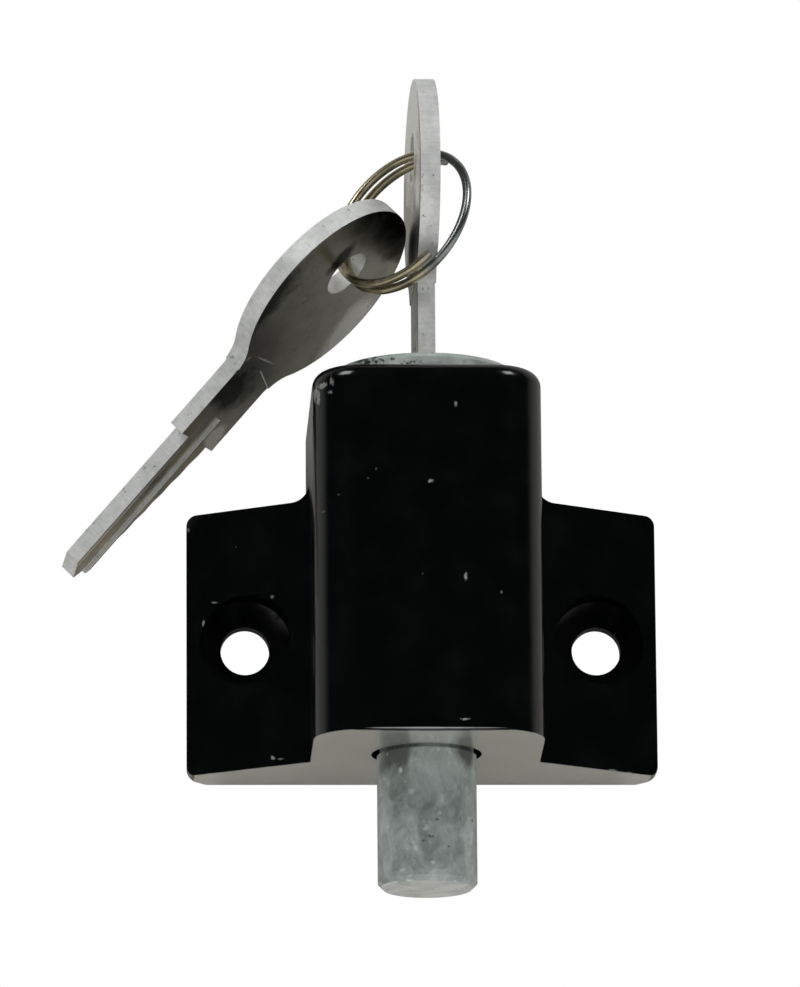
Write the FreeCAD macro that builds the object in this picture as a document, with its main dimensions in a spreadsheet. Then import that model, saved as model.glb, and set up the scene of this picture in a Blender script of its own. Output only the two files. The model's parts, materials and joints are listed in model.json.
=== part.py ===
import FreeCAD, Part
import math
import os
import re
import Sketcher

# Keyed bolt lock: a winged die-cast housing, a keyed barrel that slides in it and
# carries a round bolt, and a side latch that the key draws in or pushes out.
# Frame: origin on the back plane, halfway between the two screw holes.
# X runs along the wings, -Y is the front, +Z is where the key goes in.
# Modelled with the key turned to open and the barrel still pushed in.

sizes = {
    # Housing wings, a wedge that is thin at its outer ends
    "wing_span": 48.0,
    "wing_height": 27.2,
    "wing_edge": 4.2,
    "wing_root": 11.2,
    "wing_corner": 1.0,
    "back_bevel_x": 2.0,
    "back_bevel_y": 2.6,
    # Housing boss round the barrel
    "boss_width": 23.0,
    "boss_draft": 0.15,
    "boss_depth": 27.0,
    "boss_rise": 10.55,
    "boss_corner": 5.0,
    "edge_round": 1.6,
    "root_fillet": 1.8,
    "bore_axis": 15.0,
    "bore_gap": 0.05,
    "floor_wall": 3.0,
    "bolt_gap": 0.55,
    "mouth_bevel": 0.2,
    # Countersunk screw holes in the wings, and the cored pockets behind them
    "screw_spacing": 36.0,
    "screw_hole": 5.0,
    "screw_head": 9.4,
    "screw_seat": 1.8,
    "core_wall": 2.2,
    "core_rib": 12.4,
    # Barrel shell
    "barrel_size": 19.0,
    "barrel_proud": 1.65,
    "barrel_length": 30.2,
    "barrel_edge": 0.5,
    "travel": 13.4,
    # Bolt
    "bolt_size": 10.0,
    "bolt_throw": 13.8,
    "bolt_bevel": 0.6,
    "bolt_relief": 0.25,
    "relief_out": 0.2,
    "chamber_size": 15.2,
    "press_gap": 0.02,
    "bolt_head": 4.1,
    "cross_pin": 2.0,
    # Plug
    "plug_size": 12.2,
    "plug_head": 14.0,
    "plug_head_thick": 1.2,
    "plug_recess": 0.2,
    "plug_gap": 0.05,
    "plug_clear": 0.3,
    "clip_thick": 0.6,
    "clip_size": 14.4,
    "clip_groove": 11.0,
    "clip_gap": 0.05,
    "clip_up": 0.7,
    "rest_turn": 2.5,
    # Cam stub under the plug, and the latch that it drives
    "cam_offset": 1.55,
    "cam_size": 2.2,
    "cam_gap": 0.1,
    "latch_width": 8.0,
    "latch_thick": 2.8,
    "latch_clear": 0.4,
    "latch_inner": 4.2,
    "latch_reach": 9.3,
    "latch_gap": 0.05,
    "window_gap": 0.3,
    # Wafers, their springs and the channels that they drop into
    "wafer_spacing": 2.6,
    "wafer_first": 3.2,
    "wafer_thick": 1.0,
    "wafer_width": 5.8,
    "wafer_trim": 0.1,
    "wafer_lift": 1.0,
    "wafer_gap": 0.05,
    "window_width": 2.5,
    "seat_gap": 0.02,
    "hook_out": 1.3,
    "hook_wide": 0.9,
    "channel_size": 14.8,
    "wafer_coil": 0.72,
    "wafer_wire": 0.16,
    "wafer_spring": 2.9,
    "wafer_coils": 3,
    # Return spring
    "spring_coil": 16.4,
    "spring_wire": 0.8,
    "spring_turns": 3,
    "spring_gap": 0.1,
    # Guide screw
    "guide_down": 4.95,
    "guide_size": 3.9,
    "guide_thread": 4.0,
    "guide_sunk": 0.5,
    "guide_dog": 2.6,
    "guide_slot": 1.1,
    "guide_gap": 0.1,
    "guide_socket": 2.0,
    "guide_socket_deep": 1.8,
    # Keys
    "blade_length": 18.7,
    "blade_width": 5.2,
    "blade_tip": 1.6,
    "key_thick": 2.0,
    "key_gap": 0.08,
    "bite_first": 0.3,
    "bite_deeper": 0.3,
    "bite_flat": 1.4,
    "neck_width": 8.8,
    "neck_sweep": 4.0,
    "neck_relief": 0.12,
    "neck_ridge": 7.6,
    "head_size": 22.0,
    "head_rise": 20.1,
    "key_hole": 5.2,
    "key_web": 5.4,
    "key_groove": 1.5,
    "groove_deep": 0.45,
    "groove_over": 3.2,
    # Split ring
    "ring_size": 15.8,
    "ring_wire": 0.9,
    "ring_lead": 1.35,
    "ring_laps": 1.68,
    "ring_start": -20.0,
    # Lie of the ring about the inserted key's hole, and of the spare key on the ring
    "ring_yaw": 50.0,
    "ring_pitch": -70.7,
    "ring_roll": -0.7,
    "spare_round": 118.3,
    "spare_slip": 0.5,
    "spare_aside": 0.05,
    "spare_yaw": -19.3,
    "spare_pitch": 45.0,
    "spare_roll": 1.8,
}

# Levels and places worked out from the sizes
places = {
    "wing_low": "-wing_height / 2",
    "wing_top": "wing_height / 2",
    "boss_top": "wing_height / 2 + boss_rise",
    "guide_level": "boss_top - guide_down",
    "boss_half": "boss_width / 2",
    "boss_back": "boss_width / 2 + boss_draft",
    "floor_level": "wing_low + floor_wall",
    "bore_half": "barrel_size / 2 + bore_gap",
    "barrel_half": "barrel_size / 2",
    "barrel_top": "boss_top + barrel_proud",
    "barrel_low": "barrel_top - barrel_length",
    "bolt_end": "wing_low - bolt_throw",
    "bolt_top": "barrel_low + bolt_head",
    "pin_level": "barrel_low + bolt_head / 2",
    "plug_face": "barrel_top - plug_recess",
    "plug_seat": "plug_face - plug_head_thick",
    "latch_low": "bolt_top + latch_clear",
    "plug_end": "latch_low + latch_thick + plug_clear",
    "groove_low": "plug_end + clip_up",
    "web_low": "groove_low + clip_thick + 2 * clip_gap",
    "wafer_top": "plug_face - wafer_first + wafer_thick / 2",
    "channel_low": "wafer_top - 4 * wafer_spacing - wafer_thick - 2 * wafer_gap",
    "hook_top": "hook_wide / 2 + wafer_spring",
    "hole_level": "head_rise + head_size / 2 - key_web - key_hole / 2",
    "slope": "(wing_root - wing_edge) / (wing_span / 2 - boss_back)",
}


def formula(text):
    # Swaps each size for its cell and each place for its own formula
    def swap(found):
        word = found.group(0)
        if word in places:
            return "(" + formula(places[word]) + ")"
        return "size." + word if word in sizes else word
    return re.sub(r"[a-z_]+", swap, text)


def value(text):
    answer = sheet.evalExpression(formula(text))
    return float(getattr(answer, "Value", answer))


def bind(thing, **bound):
    for name, text in bound.items():
        thing.setExpression(name.replace("__", "."), formula(text))
    return thing


# Bodies, sketches and features
def new_body(label, x="0", y="0", z="0", turn="0", about=(0, 0, 1)):
    body = doc.addObject("PartDesign::Body", label)
    body.Label = label
    body.Placement = FreeCAD.Placement(FreeCAD.Vector(), FreeCAD.Rotation(FreeCAD.Vector(*about), 1))
    bind(body, Placement__Base__x=x, Placement__Base__y=y, Placement__Base__z=z)
    bind(body, Placement__Rotation__Angle=turn)
    return body


def on_barrel_axis(label, turn="0"):
    return new_body(label, y="-bore_axis", turn=turn)


def new_sketch(body, name, role, lift="0", x="0", y="0", turn="0"):
    sketch = body.newObject("Sketcher::SketchObject", name)
    plane = [part for part in body.Origin.OriginFeatures if part.Role == role][0]
    sketch.AttachmentSupport = (plane, [""])
    sketch.MapMode = "FlatFace"
    offset = FreeCAD.Rotation(FreeCAD.Vector(0, 0, 1), 1)
    sketch.AttachmentOffset = FreeCAD.Placement(FreeCAD.Vector(), offset)
    bind(sketch, AttachmentOffset__Base__x=x, AttachmentOffset__Base__y=y)
    bind(sketch, AttachmentOffset__Base__z=lift, AttachmentOffset__Rotation__Angle=turn)
    return sketch


def pin_point(sketch, edge, end, x, y):
    for kind, text in (("DistanceX", x), ("DistanceY", y)):
        number = sketch.addConstraint(Sketcher.Constraint(kind, -1, 1, edge, end, value(text)))
        sketch.setExpression("Constraints[%d]" % number, formula(text))


def draw_lines(sketch, points):
    # A closed outline of straight edges, each corner held by its two formulas
    corners = [FreeCAD.Vector(value(x), value(y), 0) for x, y in points]
    first = sketch.GeometryCount
    count = len(points)
    for i in range(count):
        sketch.addGeometry(Part.LineSegment(corners[i], corners[(i + 1) % count]), False)
    for i in range(count):
        after = first + (i + 1) % count
        sketch.addConstraint(Sketcher.Constraint("Coincident", first + i, 2, after, 1))
    for i, (x, y) in enumerate(points):
        pin_point(sketch, first + i, 1, x, y)


def draw_box(sketch, x_low, x_high, y_low, y_high):
    draw_lines(sketch, [(x_low, y_low), (x_high, y_low), (x_high, y_high), (x_low, y_high)])


def draw_circle(sketch, x, y, radius):
    centre = FreeCAD.Vector(value(x), value(y), 0)
    ring = sketch.addGeometry(Part.Circle(centre, FreeCAD.Vector(0, 0, 1), value(radius)), False)
    number = sketch.addConstraint(Sketcher.Constraint("Radius", ring, value(radius)))
    sketch.setExpression("Constraints[%d]" % number, formula(radius))
    pin_point(sketch, ring, 3, x, y)


def extrude(kind, body, name, sketch, length, reverse=False):
    feature = body.newObject("PartDesign::" + kind, name)
    feature.Profile = sketch
    bind(feature, Length=length)
    feature.Reversed = reverse
    return feature


def pad(body, name, sketch, length, reverse=False):
    return extrude("Pad", body, name, sketch, length, reverse)


def pocket(body, name, sketch, depth, reverse=False):
    return extrude("Pocket", body, name, sketch, depth, reverse)


def spin(body, name, sketch, kind="Revolution", angle=360):
    feature = body.newObject("PartDesign::" + kind, name)
    feature.Profile = sketch
    feature.ReferenceAxis = (sketch, ["V_Axis"])
    feature.Angle = angle
    return feature


def soften(body, name, test, radius, kind="Fillet"):
    # Rounds or bevels the edges whose middle and direction pass the test
    doc.recompute()
    tip = body.Tip
    names = []
    for i, edge in enumerate(tip.Shape.Edges):
        middle = edge.valueAt((edge.FirstParameter + edge.LastParameter) / 2)
        if test(edge, middle):
            names.append("Edge%d" % (i + 1))
    feature = body.newObject("PartDesign::" + kind, name)
    feature.Base = (tip, names)
    bind(feature, **{"Radius" if kind == "Fillet" else "Size": radius})
    return feature


def along(edge, axis):
    # True for a straight edge that runs along the given axis
    if edge.Curve.TypeId != "Part::GeomLine":
        return False
    ends = edge.Vertexes
    run = ends[-1].Point - ends[0].Point
    return abs(abs(run.normalize()[axis]) - 1) < 1e-4


def near(number, text):
    return abs(number - value(text)) < 1e-3


# Boxes and cylinders for the small flat pieces
def box(name, x_low, x_high, y_low, y_high, z_low, z_high):
    block = doc.addObject("Part::Box", name)
    bind(block, Length="(%s) - (%s)" % (x_high, x_low), Width="(%s) - (%s)" % (y_high, y_low))
    bind(block, Height="(%s) - (%s)" % (z_high, z_low))
    bind(block, Placement__Base__x=x_low, Placement__Base__y=y_low, Placement__Base__z=z_low)
    return block


def cylinder(name, radius, z_low, z_high):
    rod = doc.addObject("Part::Cylinder", name)
    bind(rod, Radius=radius, Height="(%s) - (%s)" % (z_high, z_low), Placement__Base__z=z_low)
    return rod


def combine(kind, label, first, second, turn=None):
    joined = doc.addObject("Part::" + kind, label)
    joined.Label = label
    joined.Base = first
    joined.Tool = second
    if turn is not None:
        joined.Placement.Rotation = FreeCAD.Rotation(FreeCAD.Vector(0, 0, 1), 1)
        bind(joined, Placement__Base__y="-bore_axis", Placement__Rotation__Angle=turn)
    return joined


def make_housing():
    body = new_body("housing")
    face = new_sketch(body, "wing_face", "XZ_Plane")
    draw_box(face, "-wing_span / 2", "wing_span / 2", "wing_low", "wing_top")
    pad(body, "wings", face, "wing_root")
    soften(body, "wing_corners", lambda edge, middle: along(edge, 1), "wing_corner")
    plan = new_sketch(body, "boss_plan", "XY_Plane", "wing_low")
    draw_lines(plan, [("-boss_back", "0"), ("-boss_half", "-boss_depth"),
                      ("boss_half", "-boss_depth"), ("boss_back", "0")])
    pad(body, "boss", plan, "wing_height + boss_rise")
    soften(body, "boss_corners", lambda edge, middle: along(edge, 2)
           and near(middle.y, "-boss_depth"), "boss_corner")
    soften(body, "wing_roots", lambda edge, middle: near(middle.z, "wing_top")
           and value("boss_half") < abs(middle.x) < value("boss_back") + 0.01
           and middle.y > value("-wing_root"), "root_fillet")
    for side, name in (("-", "left"), ("", "right")):
        past = side + "(wing_span / 2 + 1)"
        wedge = new_sketch(body, name + "_wedge_plan", "XY_Plane", "wing_top + 1")
        draw_lines(wedge, [
            (side + "wing_span / 2", "-wing_edge"), (side + "(boss_back)", "-wing_root"),
            (side + "(boss_back)", "-wing_root - 1"), (past, "-wing_root - 1"), (past, "-wing_edge")])
        pocket(body, name + "_wedge", wedge, "wing_height + 2")
        bevel = new_sketch(body, name + "_bevel_plan", "XY_Plane", "wing_top + 1")
        draw_lines(bevel, [
            (side + "(wing_span / 2 - back_bevel_x)", "0"), (side + "wing_span / 2", "-back_bevel_y"),
            (past, "-back_bevel_y"), (past, "1"), (side + "(wing_span / 2 - back_bevel_x)", "1")])
        pocket(body, name + "_bevel", bevel, "wing_height + 2")
    soften(body, "boss_edge", lambda edge, middle: near(middle.z, "boss_top")
           and middle.y < -1e-3, "edge_round")
    bore = new_sketch(body, "bore_section", "XZ_Plane", "bore_axis")
    draw_lines(bore, [
        ("0", "boss_top + 1"), ("bore_half + mouth_bevel + 1", "boss_top + 1"),
        ("bore_half", "boss_top - mouth_bevel"), ("bore_half", "floor_level"),
        ("bolt_size / 2 + bolt_gap", "floor_level"), ("bolt_size / 2 + bolt_gap", "wing_low - 1"),
        ("0", "wing_low - 1")])
    spin(body, "bore", bore, "Groove")
    window = new_sketch(body, "latch_window_face", "XZ_Plane")
    draw_box(window, "-latch_width / 2 - window_gap", "latch_width / 2 + window_gap",
             "latch_low - window_gap", "latch_low + latch_thick + window_gap")
    pocket(body, "latch_window", window, "bore_axis - barrel_half / 2", True)
    tapping = new_sketch(body, "guide_hole_face", "XZ_Plane")
    draw_circle(tapping, "0", "guide_level", "guide_thread / 2")
    pocket(body, "guide_hole", tapping, "bore_axis - barrel_half / 2", True)
    for side, name in (("-", "left"), ("", "right")):
        seat = new_sketch(body, name + "_screw_section", "XY_Plane", x=side + "screw_spacing / 2")
        draw_lines(seat, [
            ("0", "1"), ("screw_hole / 2", "1"), ("screw_hole / 2", "-screw_seat"),
            ("screw_head / 2", "-screw_seat - (screw_head - screw_hole) / 2"),
            ("screw_head / 2", "-wing_root"), ("0", "-wing_root")])
        spin(body, name + "_screw_hole", seat, "Groove")
        for level, place in (("core_rib / 2", "upper"), ("core_wall - wing_height / 2", "lower")):
            core = new_sketch(body, "%s_%s_core_plan" % (name, place), "XY_Plane", level)
            inner = "boss_back + core_wall"
            outer = "wing_span / 2 - back_bevel_x - core_wall / 2"
            depth = "core_wall - wing_edge - slope * (wing_span / 2 - (%s))"
            draw_lines(core, [(side + "(%s)" % inner, "1"), (side + "(%s)" % outer, "1"),
                              (side + "(%s)" % outer, depth % outer),
                              (side + "(%s)" % inner, depth % inner)])
            pocket(body, "%s_%s_core" % (name, place), core,
                   "wing_height / 2 - core_wall - core_rib / 2", True)
    return body


def make_guide_screw():
    body = new_body("guide_screw", z="guide_level")
    section = new_sketch(body, "guide_section", "XY_Plane")
    tip = "barrel_half - guide_slot + 2 * guide_gap - bore_axis"
    step = "bore_half + guide_gap - bore_axis"
    draw_lines(section, [
        ("0", "-guide_sunk"), ("guide_size / 2", "-guide_sunk"), ("guide_size / 2", step),
        ("guide_dog / 2", step), ("guide_dog / 2", tip), ("0", tip)])
    spin(body, "guide_turned", section)
    socket = new_sketch(body, "socket_face", "XZ_Plane", "guide_sunk")
    corners = [("guide_socket / sqrt(3) * cos(%d)" % turn, "guide_socket / sqrt(3) * sin(%d)" % turn)
               for turn in range(0, 360, 60)]
    draw_lines(socket, corners)
    pocket(body, "socket", socket, "guide_socket_deep", True)
    return body


def make_shell():
    body = on_barrel_axis("cylinder_shell")
    section = new_sketch(body, "shell_section", "XZ_Plane")
    head_bore = "plug_head / 2 + plug_gap"
    plug_bore = "plug_size / 2 + plug_gap"
    draw_lines(section, [
        (head_bore, "barrel_top"), ("barrel_half - barrel_edge", "barrel_top"),
        ("barrel_half", "barrel_top - barrel_edge"), ("barrel_half", "barrel_low + barrel_edge"),
        ("barrel_half - barrel_edge", "barrel_low"), ("chamber_size / 2", "barrel_low"),
        ("chamber_size / 2", "web_low"), (plug_bore, "web_low"),
        (plug_bore, "plug_seat - plug_gap"), (head_bore, "plug_seat - plug_gap")])
    spin(body, "shell_turned", section)
    for name, turn in (("open", "rest_turn"), ("locked", "rest_turn - 90")):
        slots = new_sketch(body, name + "_channel_plan", "XY_Plane", "plug_seat - plug_gap", turn=turn)
        draw_box(slots, "-wafer_width / 2 - wafer_trim", "wafer_width / 2 + wafer_trim",
                 "-channel_size / 2", "channel_size / 2")
        pocket(body, name + "_channel", slots, "plug_seat - plug_gap - (channel_low)")
    keeper = new_sketch(body, "guide_slot_face", "XZ_Plane", "-barrel_half - 1")
    reach = "guide_dog / 2 + guide_gap"
    draw_box(keeper, "-" + reach.replace("+", "-"), reach,
             "guide_level - travel - (%s)" % reach, "guide_level + " + reach)
    pocket(body, "guide_slot", keeper, "guide_slot + 1", True)
    way = new_sketch(body, "latch_way_face", "XZ_Plane")
    draw_box(way, "-latch_width / 2 - latch_gap", "latch_width / 2 + latch_gap",
             "latch_low - latch_gap", "latch_low + latch_thick + latch_gap")
    pocket(body, "latch_way", way, "barrel_half + 1")
    drill_cross(body)
    return body


def drill_cross(body):
    cross = new_sketch(body, "cross_hole_face", "YZ_Plane", "barrel_half + 1")
    draw_circle(cross, "0", "pin_level", "cross_pin / 2")
    pocket(body, "cross_hole", cross, "barrel_size + 2")


def make_bolt():
    body = on_barrel_axis("bolt")
    section = new_sketch(body, "bolt_section", "XZ_Plane")
    head = "chamber_size / 2 - press_gap"
    relieved = "wing_low - relief_out"
    draw_lines(section, [
        ("0", "bolt_end"), ("bolt_size / 2 - bolt_bevel", "bolt_end"),
        ("bolt_size / 2", "bolt_end + bolt_bevel"), ("bolt_size / 2", relieved),
        ("bolt_size / 2 - bolt_relief", relieved), ("bolt_size / 2 - bolt_relief", "barrel_low"),
        (head, "barrel_low"), (head, "bolt_top"), ("0", "bolt_top")])
    spin(body, "bolt_turned", section)
    drill_cross(body)
    return body


def make_cross_pin():
    pin = doc.addObject("Part::Cylinder", "bolt_cross_pin")
    pin.Label = "bolt_cross_pin"
    half = "sqrt(barrel_half ^ 2 - cross_pin ^ 2 / 4)"
    pin.Placement.Rotation = FreeCAD.Rotation(FreeCAD.Vector(0, 1, 0), 90)
    bind(pin, Radius="cross_pin / 2 - press_gap", Height="2 * " + half)
    bind(pin, Placement__Base__x="-" + half, Placement__Base__y="-bore_axis")
    bind(pin, Placement__Base__z="pin_level")
    return pin


def make_plug():
    body = on_barrel_axis("plug", "rest_turn")
    section = new_sketch(body, "plug_section", "XZ_Plane")
    groove_top = "groove_low + clip_thick + clip_gap"
    draw_lines(section, [
        ("0", "plug_end"), ("plug_size / 2", "plug_end"), ("plug_size / 2", "groove_low"),
        ("clip_groove / 2", "groove_low"), ("clip_groove / 2", groove_top),
        ("plug_size / 2", groove_top), ("plug_size / 2", "plug_seat"),
        ("plug_head / 2", "plug_seat"), ("plug_head / 2", "plug_face"), ("0", "plug_face")])
    spin(body, "plug_turned", section)
    stub = new_sketch(body, "cam_plan", "XY_Plane", "plug_end")
    draw_circle(stub, "cam_offset * cos(225 - rest_turn)", "cam_offset * sin(225 - rest_turn)",
                "cam_size / 2")
    pad(body, "cam_stub", stub, "plug_end - latch_low - latch_gap", True)
    way = new_sketch(body, "keyway_plan", "XY_Plane", "plug_face")
    wide = "key_thick / 2 + key_gap"
    ward = "key_thick / 2 - groove_deep + key_gap"
    rib = "key_groove / 2 - key_gap"
    tall = "blade_width / 2 + key_gap"
    right = [("-(%s)" % tall), ("-(%s)" % rib), rib, tall]
    draw_lines(way, [
        (wide, right[0]), (wide, right[1]), (ward, right[1]), (ward, right[2]),
        (wide, right[2]), (wide, right[3]), ("-(%s)" % wide, right[3]),
        ("-(%s)" % wide, right[2]), ("-(%s)" % ward, right[2]), ("-(%s)" % ward, right[1]),
        ("-(%s)" % wide, right[1]), ("-(%s)" % wide, right[0])])
    pocket(body, "keyway", way, "blade_length + 0.4")
    for i in range(wafer_count):
        level = "wafer_top + wafer_gap - %d * wafer_spacing" % i
        slot = new_sketch(body, "wafer_slot_plan_%d" % (i + 1), "XY_Plane", level)
        side = "wafer_width / 2 + wafer_gap"
        pouch = "wafer_width / 2 + hook_out + wafer_gap"
        foot = "-hook_wide / 2 - wafer_gap"
        draw_lines(slot, [
            ("-(%s)" % side, "-plug_size / 2 - 1"), (side, "-plug_size / 2 - 1"), (side, foot),
            (pouch, foot), (pouch, "hook_top + wafer_gap"), (side, "hook_top + wafer_gap"),
            (side, "plug_size / 2 + 1"), ("-(%s)" % side, "plug_size / 2 + 1")])
        pocket(body, "wafer_slot_%d" % (i + 1), slot, "wafer_thick + 2 * wafer_gap")
    return body


def make_clip():
    body = on_barrel_axis("plug_clip", "rest_turn + 110")
    section = new_sketch(body, "clip_section", "XZ_Plane")
    draw_box(section, "clip_groove / 2 + clip_gap", "clip_size / 2",
             "groove_low + clip_gap / 2", "groove_low + clip_gap / 2 + clip_thick")
    spin(body, "clip_bent", section, angle=315)
    return body


def make_wafer(i):
    # A flat plate whose window rides the blade; its hook takes the spring
    number = str(i + 1)
    high = "wafer_top - %d * wafer_spacing" % i
    low = high + " - wafer_thick"
    side = "wafer_width / 2"
    disc = cylinder("wafer_disc_" + number, "plug_size / 2 - wafer_trim", low, high)
    strip = box("wafer_strip_" + number, "-" + side, side, "-plug_size / 2", "plug_size / 2", low, high)
    plate = combine("Common", "wafer_plate_" + number, disc, strip)
    bite = "bite_first + %d * bite_deeper" % i
    window = box("wafer_window_" + number, "-window_width / 2", "window_width / 2",
                 "-blade_width / 2 - wafer_lift - wafer_trim",
                 "blade_width / 2 - (%s) + seat_gap" % bite, low, high)
    framed = combine("Cut", "wafer_frame_" + number, plate, window)
    hook = box("wafer_hook_" + number, side + " - 0.4", side + " + hook_out - wafer_gap",
               "-hook_wide / 2", "hook_wide / 2", low, high)
    return combine("Fuse", "wafer_" + number, framed, hook, "rest_turn")


def helix_place(mean, pitch, spin):
    # Point and direction on a helix after a turn of so many radians
    spot = FreeCAD.Vector(mean * math.cos(spin), mean * math.sin(spin), pitch * spin / (2 * math.pi))
    run = FreeCAD.Vector(-mean * math.sin(spin), mean * math.cos(spin), pitch / (2 * math.pi))
    return spot, run.normalize()


def tangent_arc(start, corner, end):
    # Arc from start to end whose end tangents meet at the corner
    middle = (start + end) * 0.5
    rise = corner - middle
    half_chord = (end - start).Length / 2
    turn = math.atan2(rise.Length, half_chord)
    top = middle + rise.normalize() * half_chord * math.tan(turn / 2)
    return Part.Arc(start, top, end).toShape()


def arc_pair(first, second):
    # Two tangent arcs that join two places of the helix
    (start, out), (end, back) = first, second
    gap = end - start
    bend = out.dot(back) - 1
    share = gap.dot(out + back)
    reach = (share - math.sqrt(share * share - 2 * bend * gap.dot(gap))) / (2 * bend)
    before = start + out * reach
    after = end - back * reach
    middle = (before + after) * 0.5
    return [tangent_arc(start, before, middle), tangent_arc(middle, after, end)]


def least_gap(path, turns, wire):
    # Clear space between neighbouring turns, measured on points
    count = 48
    points = path.discretize(int(count * turns) + 1)
    far = count // 2
    gaps = [(points[i] - points[j]).Length for i in range(len(points)) for j in range(i + far, len(points))]
    return min(gaps) - 2 * wire


def wire_section(wire, sides, spot, run):
    # A round wire's section, kept to few flats because the coils are many
    square = FreeCAD.Rotation(FreeCAD.Vector(0, 0, 1), run)
    turns = [2 * math.pi * i / sides for i in range(sides)]
    corners = [spot + square.multVec(FreeCAD.Vector(wire * math.cos(turn), wire * math.sin(turn), 0))
               for turn in turns]
    return Part.makePolygon(corners + corners[:1])


def coil(label, mean, wire, height, turns, base, sides):
    # A wire wound on a helix in arc pairs of up to half a turn, its ends left square
    steps = math.ceil(2 * turns)
    stops = [helix_place(mean, height / turns, 2 * math.pi * turns * i / steps) for i in range(steps + 1)]
    path = Part.Wire([arc for i in range(steps) for arc in arc_pair(stops[i], stops[i + 1])])
    section = wire_section(wire, sides, *stops[0])
    spring = doc.addObject("Part::Feature", label)
    spring.Label = label
    spring.Shape = path.makePipeShell([section], True, False)
    spring.Placement = base
    filled = spring.Shape.Volume / (Part.Face(section).Area * path.Length)
    print("%-18s least gap to itself %.2f mm, volume %.3f of its tube" % (
        label, least_gap(path, turns, wire), filled))
    return spring


def make_wafer_spring(i):
    length = value("wafer_spring") - value("wafer_wire") - value("wafer_gap")
    level = value("wafer_top - %d * wafer_spacing - wafer_thick / 2" % i)
    x = value("wafer_width / 2 + hook_out / 2")
    y = value("hook_wide / 2 + wafer_wire / 2 + wafer_gap / 2")
    lay = FreeCAD.Placement(FreeCAD.Vector(x, y, level), FreeCAD.Rotation(FreeCAD.Vector(1, 0, 0), -90))
    swing = FreeCAD.Rotation(FreeCAD.Vector(0, 0, 1), value("rest_turn"))
    axis = FreeCAD.Placement(FreeCAD.Vector(0, -value("bore_axis"), 0), swing)
    return coil("wafer_spring_%d" % (i + 1), value("wafer_coil / 2"), value("wafer_wire / 2"),
                length, value("wafer_coils"), axis.multiply(lay), spring_flat_count)


def make_return_spring():
    room = value("barrel_low - (floor_level) - 2 * spring_gap - spring_wire")
    low = value("floor_level + spring_gap + spring_wire / 2")
    base = FreeCAD.Placement(FreeCAD.Vector(0, -value("bore_axis"), low), FreeCAD.Rotation())
    return coil("return_spring", value("spring_coil / 2"), value("spring_wire / 2"),
                room, value("spring_turns"), base, spring_flat_count)


def make_latch():
    # A flat bar with a round nose; the cam stub works in its cross slot
    low = "latch_low"
    high = "latch_low + latch_thick"
    bar = box("latch_bar", "-latch_width / 2", "latch_width / 2", "-latch_inner", "latch_reach", low, high)
    nose = cylinder("latch_nose", "latch_reach", low, high)
    blank = combine("Common", "latch_blank", bar, nose)
    reach = "cam_size / 2 + cam_gap"
    middle = "cam_offset / sqrt(2)"
    slot = box("latch_slot", "-cam_offset - (%s)" % reach, "%s - %s" % (reach, middle),
               "-%s - (%s)" % (middle, reach), "%s - %s" % (reach, middle), low, high)
    return combine("Cut", "latch", blank, slot, "0")


def make_key(label):
    # Local frame: shoulder at z = 0, blade down, head up, thin along X
    body = doc.addObject("PartDesign::Body", label)
    body.Label = label
    blade = new_sketch(body, label + "_blade_side", "YZ_Plane", "-key_thick / 2")
    edge = "blade_width / 2"
    outline = [("-" + edge, "1"), ("-" + edge, "blade_tip - blade_length"),
               ("-blade_width / 2 + blade_tip", "-blade_length")]
    deepest = "bite_first + %d * bite_deeper" % (wafer_count - 1)
    outline.append(("blade_width / 2 - (%s) - blade_tip / 2" % deepest, "-blade_length"))
    for i in reversed(range(wafer_count)):
        bite = "bite_first + %d * bite_deeper" % i
        across = "blade_width / 2 - (%s)" % bite
        middle = "-wafer_first - %d * wafer_spacing" % i
        if i == wafer_count - 1:
            outline.append((across, "blade_tip - blade_length"))
        else:
            outline.append((across, middle + " - bite_flat / 2"))
        outline.append((across, middle + " + bite_flat / 2"))
    outline += [(edge, "-wafer_first / 3"), (edge, "1")]
    draw_lines(blade, outline)
    pad(body, label + "_blade", blade, "key_thick")
    neck = new_sketch(body, label + "_neck_side", "YZ_Plane", "-key_thick / 2")
    draw_box(neck, "-neck_width / 2", "neck_width / 2", "0", "head_rise - head_size / 4")
    pad(body, label + "_neck", neck, "key_thick")
    head = new_sketch(body, label + "_head_side", "YZ_Plane", "-key_thick / 2")
    draw_circle(head, "0", "head_rise", "head_size / 2")
    pad(body, label + "_head", head, "key_thick")
    soften(body, label + "_neck_sweep", lambda edge, middle: along(edge, 0)
           and middle.z > value("head_rise / 4") and near(abs(middle.y), "neck_width / 2"), "neck_sweep")
    hole = new_sketch(body, label + "_hole_side", "YZ_Plane", "key_thick / 2")
    draw_circle(hole, "0", "hole_level", "key_hole / 2")
    pocket(body, label + "_hole", hole, "key_thick")
    for face, lift, reverse in (("near", "key_thick / 2", False), ("far", "-key_thick / 2", True)):
        step = new_sketch(body, "%s_%s_step_side" % (label, face), "YZ_Plane", lift)
        draw_lines(step, [
            ("-neck_width", "-blade_length - 1"), ("neck_width", "-blade_length - 1"),
            ("neck_width", "neck_ridge"), ("0", "neck_ridge + neck_width / 4"),
            ("-neck_width", "neck_ridge")])
        pocket(body, "%s_%s_step" % (label, face), step, "neck_relief", reverse)
        groove = new_sketch(body, "%s_%s_groove_side" % (label, face), "YZ_Plane", lift)
        draw_box(groove, "-key_groove / 2", "key_groove / 2", "-blade_length - 1", "groove_over")
        pocket(body, "%s_%s_groove" % (label, face), groove, "neck_relief + groove_deep", reverse)
    return body


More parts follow.
